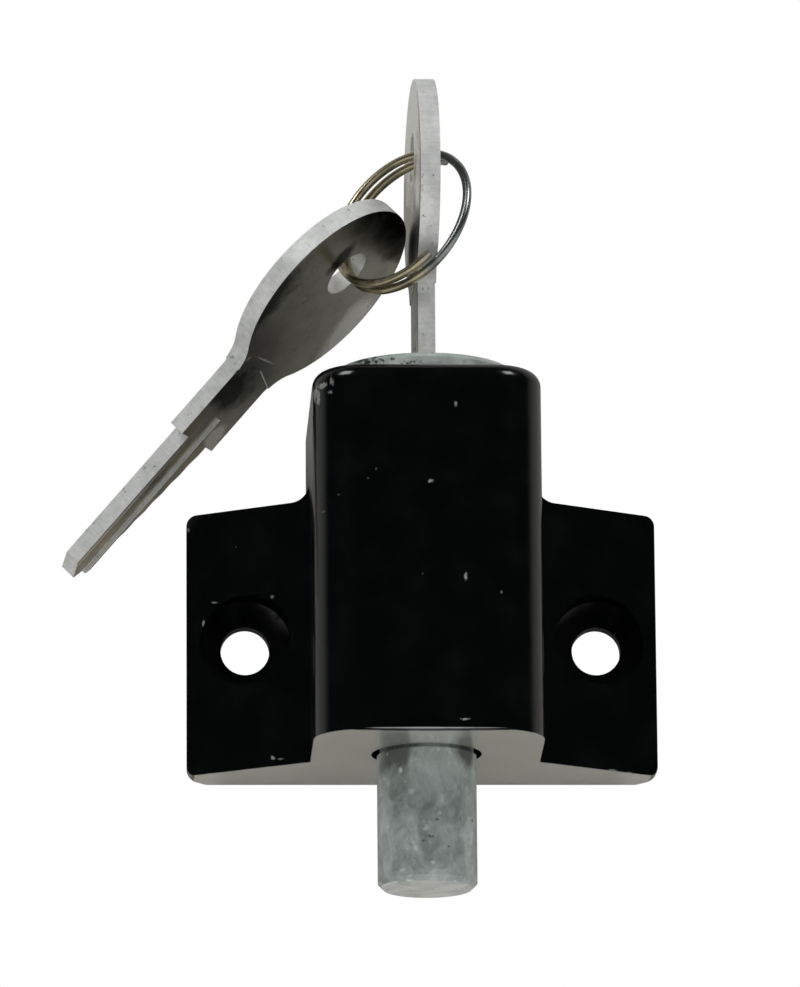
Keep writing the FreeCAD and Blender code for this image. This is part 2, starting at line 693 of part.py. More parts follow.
def make_inserted_key():
    body = make_key("inserted_key")
    body.Placement.Rotation = FreeCAD.Rotation(FreeCAD.Vector(0, 0, 1), 1)
    bind(body, Placement__Base__y="-bore_axis", Placement__Base__z="plug_face")
    bind(body, Placement__Rotation__Angle="rest_turn")
    return body


def ring_turn():
    return FreeCAD.Rotation(value("ring_yaw"), value("ring_pitch"), value("ring_roll"))


def ring_point(angle):
    # Middle of the two turns at an angle round the ring, in the ring's own frame
    spin = math.radians(angle)
    reach = value("ring_size / 2")
    level = value("ring_lead * (0.5 - ring_start / 360 - ring_laps / 2)") + value("ring_lead") * angle / 360
    return FreeCAD.Vector(reach * math.cos(spin), reach * math.sin(spin), level)


def ring_centre():
    # The wire passes through the middle of the inserted key's hole
    hole = FreeCAD.Vector(0, -value("bore_axis"), value("plug_face + hole_level"))
    return hole - ring_turn().multVec(ring_point(0))


def make_key_ring():
    turns = value("ring_laps")
    height = turns * value("ring_lead")
    lower = FreeCAD.Placement(FreeCAD.Vector(0, 0, -height / 2),
                              FreeCAD.Rotation(FreeCAD.Vector(0, 0, 1), value("ring_start")))
    base = FreeCAD.Placement(ring_centre(), ring_turn()).multiply(lower)
    return coil("key_ring", value("ring_size / 2"), value("ring_wire / 2"),
                height, turns, base, ring_flat_count)


def make_spare_key():
    # Hangs with its hole round the ring's wire
    body = make_key("spare_key")
    turn = FreeCAD.Rotation(value("spare_yaw"), value("spare_pitch"), value("spare_roll"))
    hole = ring_centre() + ring_turn().multVec(ring_point(value("spare_round")))
    lie = FreeCAD.Vector(0, value("spare_aside"), value("hole_level + spare_slip"))
    body.Placement = FreeCAD.Placement(hole - turn.multVec(lie), turn)
    return body


wafer_count = 5
spring_flat_count = 4
ring_flat_count = 6
doc = FreeCAD.newDocument("keyed_bolt_lock")
sheet = doc.addObject("Spreadsheet::Sheet", "size")
for row, (alias, number) in enumerate(sizes.items(), 1):
    sheet.set("A%d" % row, alias)
    sheet.set("B%d" % row, str(number))
    sheet.setAlias("B%d" % row, alias)
doc.recompute()

sub_parts = [
    make_housing(), make_guide_screw(), make_shell(), make_bolt(), make_cross_pin(),
    make_plug(), make_clip(), make_latch(), make_inserted_key(), make_spare_key(),
]
sub_parts += [make_wafer(i) for i in range(wafer_count)]
doc.recompute()
sub_parts += [make_wafer_spring(i) for i in range(wafer_count)]
sub_parts += [make_return_spring(), make_key_ring()]
doc.recompute()

for thing in doc.Objects:
    if "Invalid" in thing.State or "Error" in thing.State:
        raise RuntimeError("%s failed: %s" % (thing.Label, thing.State))
for part in sub_parts:
    if part.Shape.isNull() or not part.Shape.isValid():
        raise RuntimeError("%s has no valid shape" % part.Label)

os.makedirs("parts", exist_ok=True)
for part in sub_parts:
    part.Shape.exportStep("parts/%s.step" % part.Label)
    print("%-18s %2d solid(s) %9.2f mm3" % (part.Label, len(part.Shape.Solids), part.Shape.Volume))
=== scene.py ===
import bpy
import bmesh
import json
import math
from mathutils import Euler, Matrix, Vector


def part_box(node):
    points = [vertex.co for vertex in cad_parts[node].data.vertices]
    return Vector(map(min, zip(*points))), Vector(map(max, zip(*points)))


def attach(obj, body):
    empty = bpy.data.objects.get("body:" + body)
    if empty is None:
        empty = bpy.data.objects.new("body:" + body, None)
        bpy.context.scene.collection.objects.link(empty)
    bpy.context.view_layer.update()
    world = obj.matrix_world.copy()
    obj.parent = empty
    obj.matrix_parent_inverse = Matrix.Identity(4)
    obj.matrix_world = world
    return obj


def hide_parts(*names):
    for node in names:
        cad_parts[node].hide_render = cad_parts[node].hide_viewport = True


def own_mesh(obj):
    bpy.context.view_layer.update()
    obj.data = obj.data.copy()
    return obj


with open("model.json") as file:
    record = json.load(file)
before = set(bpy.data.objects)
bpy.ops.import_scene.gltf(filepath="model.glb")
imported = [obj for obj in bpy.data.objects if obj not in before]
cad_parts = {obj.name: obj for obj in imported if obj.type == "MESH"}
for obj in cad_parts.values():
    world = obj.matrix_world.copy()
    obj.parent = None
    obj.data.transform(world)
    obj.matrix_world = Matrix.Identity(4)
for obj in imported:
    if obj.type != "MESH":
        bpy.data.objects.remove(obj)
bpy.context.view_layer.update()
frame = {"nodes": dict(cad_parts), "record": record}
nodes = frame["nodes"]
print("frame loaded:", len(nodes), "nodes")

mm = 0.001
scene = bpy.context.scene
scene.view_settings.view_transform = "Standard"

# Most of a noise lies within the narrow span, and nearly all of it within the wide one
narrowSpan = (0.3, 0.7)
wideSpan = (0.25, 0.75)


def newTree(name):
    material = bpy.data.materials.new(name)
    material.use_nodes = True
    tree = material.node_tree
    tree.nodes.clear()
    output = tree.nodes.new("ShaderNodeOutputMaterial")
    shader = tree.nodes.new("ShaderNodeBsdfPrincipled")
    tree.links.new(shader.outputs[0], output.inputs["Surface"])
    return material, tree, shader


def link(tree, source, target):
    tree.links.new(source, target)


def setOrLink(tree, item, socket):
    # A number or a colour is set, and another node's output is linked
    if isinstance(item, (int, float)):
        socket.default_value = item
    elif isinstance(item, tuple):
        socket.default_value = item + (1.0,)
    else:
        link(tree, item, socket)


def mapped(tree, place, scale=(1, 1, 1), turn=(0, 0, 0)):
    mapping = tree.nodes.new("ShaderNodeMapping")
    mapping.inputs["Scale"].default_value = scale
    mapping.inputs["Rotation"].default_value = turn
    link(tree, place, mapping.inputs["Vector"])
    return mapping.outputs[0]


def objectPlace(tree, scale=(1, 1, 1), turn=(0, 0, 0)):
    coords = tree.nodes.new("ShaderNodeTexCoord")
    return mapped(tree, coords.outputs["Object"], scale, turn)


def keyMap(tree):
    uv = tree.nodes.new("ShaderNodeUVMap")
    uv.uv_map = "alongKey"
    return uv.outputs[0]


def axisOf(tree, place, name):
    split = tree.nodes.new("ShaderNodeSeparateXYZ")
    link(tree, place, split.inputs[0])
    return split.outputs[name]


def vectorMath(tree, operation, *items):
    node = tree.nodes.new("ShaderNodeVectorMath")
    node.operation = operation
    for socket, item in zip(node.inputs, items):
        if isinstance(item, (tuple, Vector)):
            socket.default_value = item
        else:
            link(tree, item, socket)
    return node.outputs["Value" if operation == "LENGTH" else "Vector"]


def math2(tree, operation, first, second):
    node = tree.nodes.new("ShaderNodeMath")
    node.operation = operation
    for i, item in enumerate((first, second)):
        setOrLink(tree, item, node.inputs[i])
    return node.outputs[0]


def plus(tree, first, second):
    return math2(tree, "ADD", first, second)


def times(tree, first, second):
    return math2(tree, "MULTIPLY", first, second)


def anyOf(tree, masks):
    total = masks[0]
    for mask in masks[1:]:
        total = math2(tree, "MAXIMUM", total, mask)
    return total


def ramp(tree, value, low, high, toLow=0.0, toHigh=1.0):
    spread = tree.nodes.new("ShaderNodeMapRange")
    spread.inputs["From Min"].default_value = low
    spread.inputs["From Max"].default_value = high
    spread.inputs["To Min"].default_value = toLow
    spread.inputs["To Max"].default_value = toHigh
    link(tree, value, spread.inputs["Value"])
    return spread.outputs[0]


def nearLevel(tree, height, level, rises):
    # Fades in between two heights given in millimetres above the level
    return ramp(tree, height, level + rises[0] * mm, level + rises[1] * mm)


def mixColour(tree, factor, first, second):
    node = tree.nodes.new("ShaderNodeMix")
    node.data_type = "RGBA"
    for i, item in ((0, factor), (6, first), (7, second)):
        setOrLink(tree, item, node.inputs[i])
    return node.outputs[2]


def mixValue(tree, factor, first, second):
    node = tree.nodes.new("ShaderNodeMix")
    for i, item in ((0, factor), (2, first), (3, second)):
        setOrLink(tree, item, node.inputs[i])
    return node.outputs[0]


def noise(tree, place, scale, detail=4.0, rough=0.55, distortion=0.0):
    texture = tree.nodes.new("ShaderNodeTexNoise")
    texture.inputs["Scale"].default_value = scale
    texture.inputs["Detail"].default_value = detail
    texture.inputs["Roughness"].default_value = rough
    texture.inputs["Distortion"].default_value = distortion
    link(tree, place, texture.inputs["Vector"])
    return texture.outputs["Fac"]


def cells(tree, place, scale):
    texture = tree.nodes.new("ShaderNodeTexVoronoi")
    texture.inputs["Scale"].default_value = scale
    link(tree, place, texture.inputs["Vector"])
    split = tree.nodes.new("ShaderNodeSeparateColor")
    link(tree, texture.outputs["Color"], split.inputs[0])
    return split.outputs[0]


def warped(tree, place, scale, amount):
    # The same place, shaken by up to the amount in millimetres
    texture = tree.nodes.new("ShaderNodeTexNoise")
    texture.inputs["Scale"].default_value = scale
    texture.inputs["Detail"].default_value = 3.0
    link(tree, place, texture.inputs["Vector"])
    return vectorMath(tree, "MULTIPLY_ADD", texture.outputs["Color"], (amount * mm,) * 3, place)


def bump(tree, shader, height, strength, depth):
    node = tree.nodes.new("ShaderNodeBump")
    node.inputs["Strength"].default_value = strength
    node.inputs["Distance"].default_value = depth * mm
    link(tree, height, node.inputs["Height"])
    link(tree, node.outputs[0], shader.inputs["Normal"])


def blob(tree, place, centre, reach, soft, wobble=None):
    # 1 inside an ellipsoid given in millimetres, fading to 0 over its outer part
    offset = vectorMath(tree, "SUBTRACT", place, Vector(centre) * mm)
    far = vectorMath(tree, "LENGTH", vectorMath(tree, "DIVIDE", offset, Vector(reach) * mm))
    if wobble is not None:
        far = plus(tree, far, wobble)
    return ramp(tree, far, 1.0, 1.0 - soft)


def blobs(tree, place, shapes, soft, wobble):
    return anyOf(tree, [blob(tree, place, centre, reach, soft, wobble)
                        for centre, reach in shapes])


# In all the finishes lengths are in millimetres, a noise is given by its scale, detail,
# roughness and distortion, and a bump by its strength and depth
paint = {
    "colour": (0.0009, 0.0017, 0.0018), "haze": (0.0020, 0.0032, 0.0034), "hazy": (0.45, 0.75),
    "roughness": (0.13, 0.22), "bump": (0.22, 0.04),
    "cloud": (260.0, 4.0), "fine": (2600.0, 5.0, 0.62), "ragged": 0.75,
    "skin": 0.25, "bareSkin": 0.04,
    "bareLow": (0.70, 0.70, 0.645), "bareHigh": (0.86, 0.86, 0.80),
    "bareRises": (0.05, 0.02), "bareEdge": (900.0, 3.0), "edgeSpan": (0.35, 0.65),
    "edgeWander": 0.02, "bareRoughness": (0.15, 0.24), "bareMetallic": 0.80,
    "lathe": (320.0, 5.0, 0.6), "latheStretch": (1.0, 9.0, 1.0), "latheTurn": (0, 0, 0.12),
    "latheShare": 0.6, "blotch": (150.0, 3.0), "blotchShare": 0.4,
    "chipAndHighlightColour": (0.50, 0.53, 0.52), "chipAndGlintSoft": 0.6, "chipAndGlintReach": 0.8, "markDepth": 0.3,
    "chipsAndGlints": [  # centre of each mark, its half width and height, and how much metal or glint shows; most are chips of worn paint, three are painted glints
        (2.71, -27.0, 19.68, 0.14, 0.40, 0.30), (0.15, -27.0, 11.74, 0.30, 0.22, 0.42),
        (3.55, -27.0, 1.96, 0.18, 0.38, 0.40), (7.12, -27.0, 0.38, 0.11, 0.20, 0.22),
        (-0.72, -27.0, 2.25, 0.12, 0.12, 0.08), (3.41, -27.0, -12.54, 0.42, 0.13, 0.45),
        (-10.55, -25.0, 9.06, 0.40, 0.09, 0.13), (-6.09, -27.0, 12.04, 0.14, 0.11, 0.08),
        (-5.3, -27.0, 13.0, 0.16, 0.16, 0.08), (-9.0, -26.4, 10.5, 0.20, 0.12, 0.09),
        # The first two marks here and the first on the next line lie on the left screw hole's upper
        # rim and are painted glints
        (-21.05, -5.7, 4.15, 0.42, 0.16, 0.32), (-22.25, -5.4, 2.10, 0.20, 0.40, 0.35),
        (-15.35, -9.3, 4.00, 0.20, 0.24, 0.24), (-15.31, -9.1, -12.71, 0.20, 0.20, 0.42),
        (-14.6, -9.3, -12.9, 0.40, 0.10, 0.22), (-23.80, -4.2, 12.15, 0.18, 0.26, 0.25),
        (-18.97, -7.0, 9.72, 0.09, 0.11, 0.14), (19.15, -6.9, -13.49, 0.55, 0.12, 0.35),
        (20.94, -5.9, -13.55, 0.30, 0.10, 0.30), (-23.8, -3.6, -13.5, 0.35, 0.30, 0.50),
    ],
    # Centre and half sizes: the painted highlight line along the boss's foot, the paint left on the
    # lower face's front edge, and the worn places at the top left corner
    "paintedFootHighlight": [(0.3, -26.9, -13.42), (7.6, 0.8, 0.10)],
    "footHighlightSoft": 0.7, "footHighlightWobble": 0.2, "footHighlightShown": 0.75,
    "paintedToe": [(0.3, -27.6, -13.8), (11.0, 1.35, 1.5)], "toeSoft": 0.12,
    "smearSoft": 0.45, "smearShown": 0.30,
    "smears": [
        ((-11.25, -23.6, 21.55), (0.55, 1.30, 0.75)), ((-10.45, -24.8, 22.10), (0.75, 0.90, 0.34)),
        ((-9.60, -25.6, 22.35), (0.24, 0.60, 0.62)), ((-10.95, -24.3, 20.95), (0.26, 0.70, 0.80)),
        ((-9.75, -25.4, 21.20), (0.30, 0.60, 0.26)), ((-11.40, -22.6, 20.90), (0.50, 0.50, 1.60)),
    ],
}


def paintMaterial():
    material, tree, shader = newTree("blackPaint")
    place = objectPlace(tree)
    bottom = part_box("housing")[0].z
    cloud = noise(tree, place, *paint["cloud"])
    fine = noise(tree, place, *paint["fine"])
    ragged = ramp(tree, fine, *wideSpan, -paint["ragged"], paint["ragged"])

    wander = paint["edgeWander"] * mm
    edge = ramp(tree, noise(tree, place, *paint["bareEdge"]), *paint["edgeSpan"], -wander, wander)
    edge = plus(tree, axisOf(tree, place, "Z"), edge)
    toe = blob(tree, place, *paint["paintedToe"], paint["toeSoft"])
    bare = nearLevel(tree, edge, bottom, paint["bareRises"])
    bare = times(tree, bare, math2(tree, "SUBTRACT", 1.0, toe))

    chipsAndGlints = []
    # Chips of worn paint, and painted glints on the left screw hole's rim
    for x, y, z, halfWidth, halfHeight, strength in paint["chipsAndGlints"]:
        reach = (halfWidth, paint["chipAndGlintReach"], halfHeight)
        chipOrGlint = blob(tree, place, (x, y, z), reach, paint["chipAndGlintSoft"], ragged)
        chipsAndGlints.append(times(tree, chipOrGlint, strength))
    # A painted highlight line along the boss's foot, drawn in the chips' colour
    shake = ramp(tree, cloud, *narrowSpan, -paint["footHighlightWobble"], paint["footHighlightWobble"])
    foot = blob(tree, place, *paint["paintedFootHighlight"], paint["footHighlightSoft"], shake)
    smears = blobs(tree, place, paint["smears"], paint["smearSoft"], ragged)
    marks = anyOf(tree, chipsAndGlints + [times(tree, smears, paint["smearShown"]),
                                 times(tree, foot, paint["footHighlightShown"])])
    # The bare lower face, chips, painted glints and the painted highlight show instead of the coat
    metalOrHighlightShown = math2(tree, "MAXIMUM", marks, bare)

    latheWay = objectPlace(tree, paint["latheStretch"], paint["latheTurn"])
    lathe = noise(tree, latheWay, *paint["lathe"])
    blotch = noise(tree, place, *paint["blotch"])
    tone = plus(tree, ramp(tree, lathe, *narrowSpan, 0.0, paint["latheShare"]),
                ramp(tree, blotch, *narrowSpan, 0.0, paint["blotchShare"]))
    metalAndHighlight = mixColour(tree, tone, paint["bareLow"], paint["bareHigh"])
    metalAndHighlight = mixColour(tree, marks, metalAndHighlight, paint["chipAndHighlightColour"])
    coat = mixColour(tree, ramp(tree, cloud, *paint["hazy"]), paint["colour"], paint["haze"])
    link(tree, mixColour(tree, metalOrHighlightShown, coat, metalAndHighlight), shader.inputs["Base Color"])
    gloss = ramp(tree, cloud, *narrowSpan, *paint["roughness"])
    dull = ramp(tree, lathe, *narrowSpan, *paint["bareRoughness"])
    link(tree, mixValue(tree, metalOrHighlightShown, gloss, dull), shader.inputs["Roughness"])
    link(tree, times(tree, bare, paint["bareMetallic"]), shader.inputs["Metallic"])
    skin = times(tree, fine, ramp(tree, bare, 0.0, 1.0, paint["skin"], paint["bareSkin"]))
    height = math2(tree, "SUBTRACT", skin, times(tree, marks, paint["markDepth"]))
    bump(tree, shader, height, *paint["bump"])
    return material


zinc = {  # dull plate with patches, specks, painted shade under the housing, a bright ground end and painted glints on its rim
    "dark": (0.370, 0.420, 0.395), "light": (0.720, 0.800, 0.790),
    "roughness": (0.36, 0.50), "metallic": 0.50, "bump": (0.30, 0.05), "relief": 2.0,
    "stretch": (1.0, 1.0, 0.75), "patch": (330.0, 6.0, 0.62, 0.8), "grain": (2400.0, 4.0, 0.65),
    "patchTone": (0.30, 0.72, 0.0, 0.85), "grainTone": (-0.10, 0.18),
    "warp": (1100.0, 0.9), "blocks": [(620.0, 0.20), (1500.0, 0.12)],
    "wobble": 0.35, "grainWobble": 0.4,
    # Centre and half sizes of the painted shade on the bolt's top under the housing, and of a light
    # strip
    # The shade colour here is the painted shade under the housing
    "shade": (0.085, 0.090, 0.080), "paintedShadeSoft": 0.6, "paintedShadeShown": 0.85,
    "paintedShades": [((-3.6, -18.8, -14.3), (2.9, 3.4, 2.6)), ((3.9, -18.6, -14.1), (1.9, 3.2, 1.9))],
    "strip": ((0.6, -20.0, -15.5), (1.9, 2.0, 4.2)), "stripSoft": 0.5, "stripShown": 0.35,
    # Spots on the bolt's front: x and z, then half width and half height
    "frontPlace": -20.0, "spotReach": 2.5, "spotSoft": 0.6,
    "speck": (0.86, 0.92, 0.94), "spotsShown": 0.75,
    "spots": [
        (-1.75, -18.3, 0.42, 0.38), (1.36, -19.2, 0.36, 0.62), (1.1, -20.6, 0.30, 0.30),
        (-0.3, -22.1, 0.40, 0.34), (-1.36, -24.1, 0.30, 0.42), (-2.7, -26.2, 0.42, 0.34),
        (0.4, -25.6, 0.30, 0.22), (3.4, -17.6, 0.24, 0.6), (4.1, -22.4, 0.26, 0.8),
        (-4.3, -20.2, 0.22, 0.9)],
    "stain": (0.110, 0.130, 0.110), "darkSpotsShown": 0.8,
    "darkSpots": [(1.94, -23.9, 0.17, 0.14), (-0.6, -23.4, 0.24, 0.16), (3.2, -20.9, 0.14, 0.3)],
    "broad": (160.0, 2.0), "broadSpan": (0.50, 0.62), "speckShare": (0.25, 0.9),
    "specks": (900.0, 3.0, 0.5), "speckSpan": (0.655, 0.70),
    "stainStretch": (1.3, 1.3, 1.3), "stains": (820.0, 3.0, 0.5),
    "stainSpan": (0.69, 0.73, 0.0, 0.75),
    "end": (0.98, 1.0, 0.95), "endShade": 0.55, "endRises": (0.12, 0.04), "endMetallic": 0.25,
    "endRoughness": 0.28, "endRelief": 0.5,
    # Painted glints on the rim of the bolt's end
    "paintedRimGlintRises": (0.30, 0.20), "paintedRimGlint": (420.0, 4.0), "paintedRimGlintSpan": (0.46, 0.58),
    "rings": (3600.0, 4.0, 0.6), "ringSpan": (0.35, 0.65, 0.0, 0.35),
    "patchOnEnd": (0.35, 0.62, 0.0, 0.65), "axleBack": 15.0,
}


def frontSpots(tree, place, spots, wobble):
    front, reach = zinc["frontPlace"], zinc["spotReach"]
    shapes = [((x, front, z), (halfWidth, reach, halfHeight))
              for x, z, halfWidth, halfHeight in spots]
    return blobs(tree, place, shapes, zinc["spotSoft"], wobble)


def turnedRings(tree):
    # A noise that depends only on the distance from the bolt's axis
    onAxis = vectorMath(tree, "MULTIPLY_ADD", objectPlace(tree), (1, 1, 0),
                        (0, zinc["axleBack"] * mm, 0))
    turned = tree.nodes.new("ShaderNodeCombineXYZ")
    link(tree, vectorMath(tree, "LENGTH", onAxis), turned.inputs[0])
    return noise(tree, turned.outputs[0], *zinc["rings"])


def zincMaterial():
    material, tree, shader = newTree("mottledZinc")
    stretched = objectPlace(tree, zinc["stretch"])
    place = objectPlace(tree)
    z = axisOf(tree, place, "Z")
    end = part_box("bolt")[0].z
    patch = noise(tree, stretched, *zinc["patch"])
    grain = noise(tree, stretched, *zinc["grain"])
    shaken = warped(tree, stretched, *zinc["warp"])
    coarse, small = [ramp(tree, cells(tree, shaken, scale), 0.0, 1.0, -depth, depth)
                     for scale, depth in zinc["blocks"]]
    block = plus(tree, coarse, small)
    tone = plus(tree, ramp(tree, patch, *zinc["patchTone"]),
                ramp(tree, grain, *narrowSpan, *zinc["grainTone"]))
    tone = plus(tree, tone, block)
    colour = mixColour(tree, tone, zinc["dark"], zinc["light"])

    wobble = ramp(tree, patch, *wideSpan, -zinc["wobble"], zinc["wobble"])
    # Painted shade where the housing shades the bolt's top
    shade = blobs(tree, place, zinc["paintedShades"], zinc["paintedShadeSoft"], wobble)
    strip = blob(tree, place, *zinc["strip"], zinc["stripSoft"], wobble)
    colour = mixColour(tree, times(tree, strip, zinc["stripShown"]), colour, zinc["light"])
    colour = mixColour(tree, times(tree, shade, zinc["paintedShadeShown"]), colour, zinc["shade"])
    shake = ramp(tree, grain, *narrowSpan, -zinc["grainWobble"], zinc["grainWobble"])
    spots = frontSpots(tree, place, zinc["spots"], shake)
    colour = mixColour(tree, times(tree, spots, zinc["spotsShown"]), colour, zinc["speck"])
    spots = frontSpots(tree, place, zinc["darkSpots"], shake)
    colour = mixColour(tree, times(tree, spots, zinc["darkSpotsShown"]), colour, zinc["stain"])

    broad = ramp(tree, noise(tree, stretched, *zinc["broad"]), *zinc["broadSpan"])
    specks = ramp(tree, noise(tree, stretched, *zinc["specks"]), *zinc["speckSpan"])
    specks = times(tree, specks, ramp(tree, broad, 0.0, 1.0, *zinc["speckShare"]))
    stains = noise(tree, objectPlace(tree, zinc["stainStretch"]), *zinc["stains"])
    colour = mixColour(tree, specks, colour, zinc["speck"])
    colour = mixColour(tree, ramp(tree, stains, *zinc["stainSpan"]), colour, zinc["stain"])

    ground = nearLevel(tree, z, end, zinc["endRises"])
    # Painted glints along the rim of the bolt's end, in the end's bright colour
    paintedRimGlint = times(tree, nearLevel(tree, z, end, zinc["paintedRimGlintRises"]),
                ramp(tree, noise(tree, place, *zinc["paintedRimGlint"]), *zinc["paintedRimGlintSpan"]))
    rings = turnedRings(tree)
    dulled = plus(tree, ramp(tree, rings, *zinc["ringSpan"]),
                  ramp(tree, patch, *zinc["patchOnEnd"]))
    face = mixColour(tree, dulled, tuple(zinc["endShade"] * c for c in zinc["end"]), zinc["end"])
    colour = mixColour(tree, paintedRimGlint, colour, zinc["end"])
    link(tree, mixColour(tree, ground, colour, face), shader.inputs["Base Color"])
    metallic = mixValue(tree, ground, zinc["metallic"], zinc["endMetallic"])
    link(tree, metallic, shader.inputs["Metallic"])
    roughness = mixValue(tree, ground, ramp(tree, tone, 0.0, 1.0, *zinc["roughness"]),
                         zinc["endRoughness"])
    link(tree, roughness, shader.inputs["Roughness"])
    relief = plus(tree, grain, times(tree, patch, zinc["relief"]))
    relief = plus(tree, relief, times(tree, block, zinc["relief"]))
    relief = mixValue(tree, ground, relief, times(tree, rings, zinc["endRelief"]))
    bump(tree, shader, relief, *zinc["bump"])
    return material


plate = {
    "base": (0.44, 0.50, 0.47), "light": (0.70, 0.77, 0.74), "stain": (0.040, 0.055, 0.046),
    "metallic": 0.50, "roughness": (0.36, 0.52), "bump": (0.2, 0.03), "stainRelief": 0.5,
    "patch": (520.0, 6.0, 0.62), "patchSpan": (0.35, 0.68), "grain": (3000.0, 3.0),
    "warp": (1100.0, 0.9), "cells": 760.0, "cellTone": 0.25,
    "stains": (880.0, 7.0, 0.70), "stainSpan": (0.64, 0.70),
    "darkerLeftward": (2.0, -5.5), "darkerLeftwardBy": 0.17,
}


def plateMaterial():
    material, tree, shader = newTree("wornPlate")
    place = objectPlace(tree)
    patch = noise(tree, place, *plate["patch"])
    grain = noise(tree, place, *plate["grain"])
    block = cells(tree, warped(tree, place, *plate["warp"]), plate["cells"])
    block = ramp(tree, block, 0.0, 1.0, -plate["cellTone"], plate["cellTone"])
    tone = plus(tree, ramp(tree, patch, *plate["patchSpan"]), block)
    colour = mixColour(tree, tone, plate["base"], plate["light"])
    # The dark mottling grows towards the left, so the barrel is darker towards its left side
    start, full = plate["darkerLeftward"]
    leftward = ramp(tree, axisOf(tree, place, "X"), start * mm, full * mm,
                    0.0, plate["darkerLeftwardBy"])
    stain = plus(tree, noise(tree, place, *plate["stains"]), leftward)
    stain = ramp(tree, stain, *plate["stainSpan"])
    link(tree, mixColour(tree, stain, colour, plate["stain"]), shader.inputs["Base Color"])
    shader.inputs["Metallic"].default_value = plate["metallic"]
    link(tree, ramp(tree, grain, *narrowSpan, *plate["roughness"]), shader.inputs["Roughness"])
    bump(tree, shader, plus(tree, grain, times(tree, stain, plate["stainRelief"])), *plate["bump"])
    return material


tarnishAndPaintedLight = {
    "mapUnit": 10.0,  # millimetres of the key to one unit of its map
    "face": (0.30, 0.295, 0.255), "worn": (0.46, 0.455, 0.415), "dark": (0.020, 0.024, 0.020),
    "bright": (0.92, 0.92, 0.88), "brass": (0.66, 0.57, 0.40),
    "patch": (240.0, 6.0, 0.62), "wornSpan": (0.35, 0.70), "wobble": 0.35,
    "fine": (2300.0, 4.0, 0.6), "speckSpan": (0.66, 0.74, 0.0, 0.5),
    "roughness": (0.24, 0.36), "darkRoughness": 0.42, "brightRoughness": 0.22,
    "metallic": 1.0, "brightMetallic": 0.30, "bump": (0.12, 0.02), "strokeRelief": 0.4,
    # Places across and along the key from the middle of its shoulder, then the half sizes; the dark
    # places are painted dark reflections and shade, the bright ones painted reflections and glints,
    # on the spare partly worn shiny metal
    "darkSoft": 0.50, "darkShown": 0.96, "brightSoft": 0.45, "brightShown": 0.9,
    "sparePaintedDark": [(0.0, 33.0, 14.0, 6.6), (-10.6, 15.0, 4.0, 7.4), (-2.2, 6.4, 5.0, 2.9),
                  (-3.6, 24.0, 1.5, 2.6)],
    "spareWearAndGlints": [(2.4, 1.6, 1.7, 1.7), (3.4, 0.6, 1.4, 1.0), (9.2, 19.0, 3.0, 5.0)],
    "insertedPaintedDark": [(1.5, 13.6, 6.0, 3.4), (-0.4, 26.4, 1.0, 1.2), (-3.6, 5.0, 0.35, 3.6),
                     (-1.6, 4.0, 0.25, 3.0)],
    "insertedPaintedBright": [(0.0, 27.0, 12.0, 9.5), (-7.0, 19.0, 3.5, 4.0), (-2.6, 2.6, 0.4, 2.0)],
    "paintedRidgeHighlight": [(-5.5, 9.1), (-4.0, 10.8), (1.85, 11.2)], "ridgeHighlightHalf": 0.17, "ridgeHighlightOver": 0.1,
    "ridgeHighlightSoft": 0.8, "ridgeHighlightShown": 0.8, "besideRidge": 0.75,
    "groove": (-2.1, -10.2, 0.16, 14.2), "grooveSoft": 0.5, "grooveWobble": 0.2,
    "grooveShown": 0.9,
    "scratches": (-4.6, 28.2, 5.2, 1.7), "scratchSoft": 0.5, "scratchShown": 0.6,
    "strokeTurn": 24.0, "strokeStretch": (2600.0, 190.0, 1.0), "strokes": (1.0, 3.0, 0.55),
    "strokeSpan": (0.60, 0.68),
    "brassRise": (4.0, 1.0), "brassPatch": (0.42, 0.60, 0.2, 0.7),
}


def keySpots(tree, place, spots, soft, wobble):
    return blobs(tree, place, [((u, v, 0), (halfWidth, halfLength, 1.0))
                               for u, v, halfWidth, halfLength in spots], soft, wobble)


def paintedRidgeHighlights(tree, place):
    # Thin painted highlight lines across the key's neck, where a step's lit edge would show; the
    # solid's own step lies about 2 mm lower
    lines = []
    for first, last in zip(tarnishAndPaintedLight["paintedRidgeHighlight"], tarnishAndPaintedLight["paintedRidgeHighlight"][1:]):
        slanted = tree.nodes.new("ShaderNodeMapping")
        slanted.vector_type = "TEXTURE"
        middle = Vector(((first[0] + last[0]) / 2, (first[1] + last[1]) / 2, 0))
        slanted.inputs["Location"].default_value = middle * mm
        slope = math.atan2(last[1] - first[1], last[0] - first[0])
        slanted.inputs["Rotation"].default_value = (0, 0, slope)
        link(tree, place, slanted.inputs["Vector"])
        reach = (math.dist(first, last) / 2 + tarnishAndPaintedLight["ridgeHighlightOver"], tarnishAndPaintedLight["ridgeHighlightHalf"], 1.0)
        lines.append(blob(tree, slanted.outputs[0], (0, 0, 0), reach, tarnishAndPaintedLight["ridgeHighlightSoft"]))
    return lines


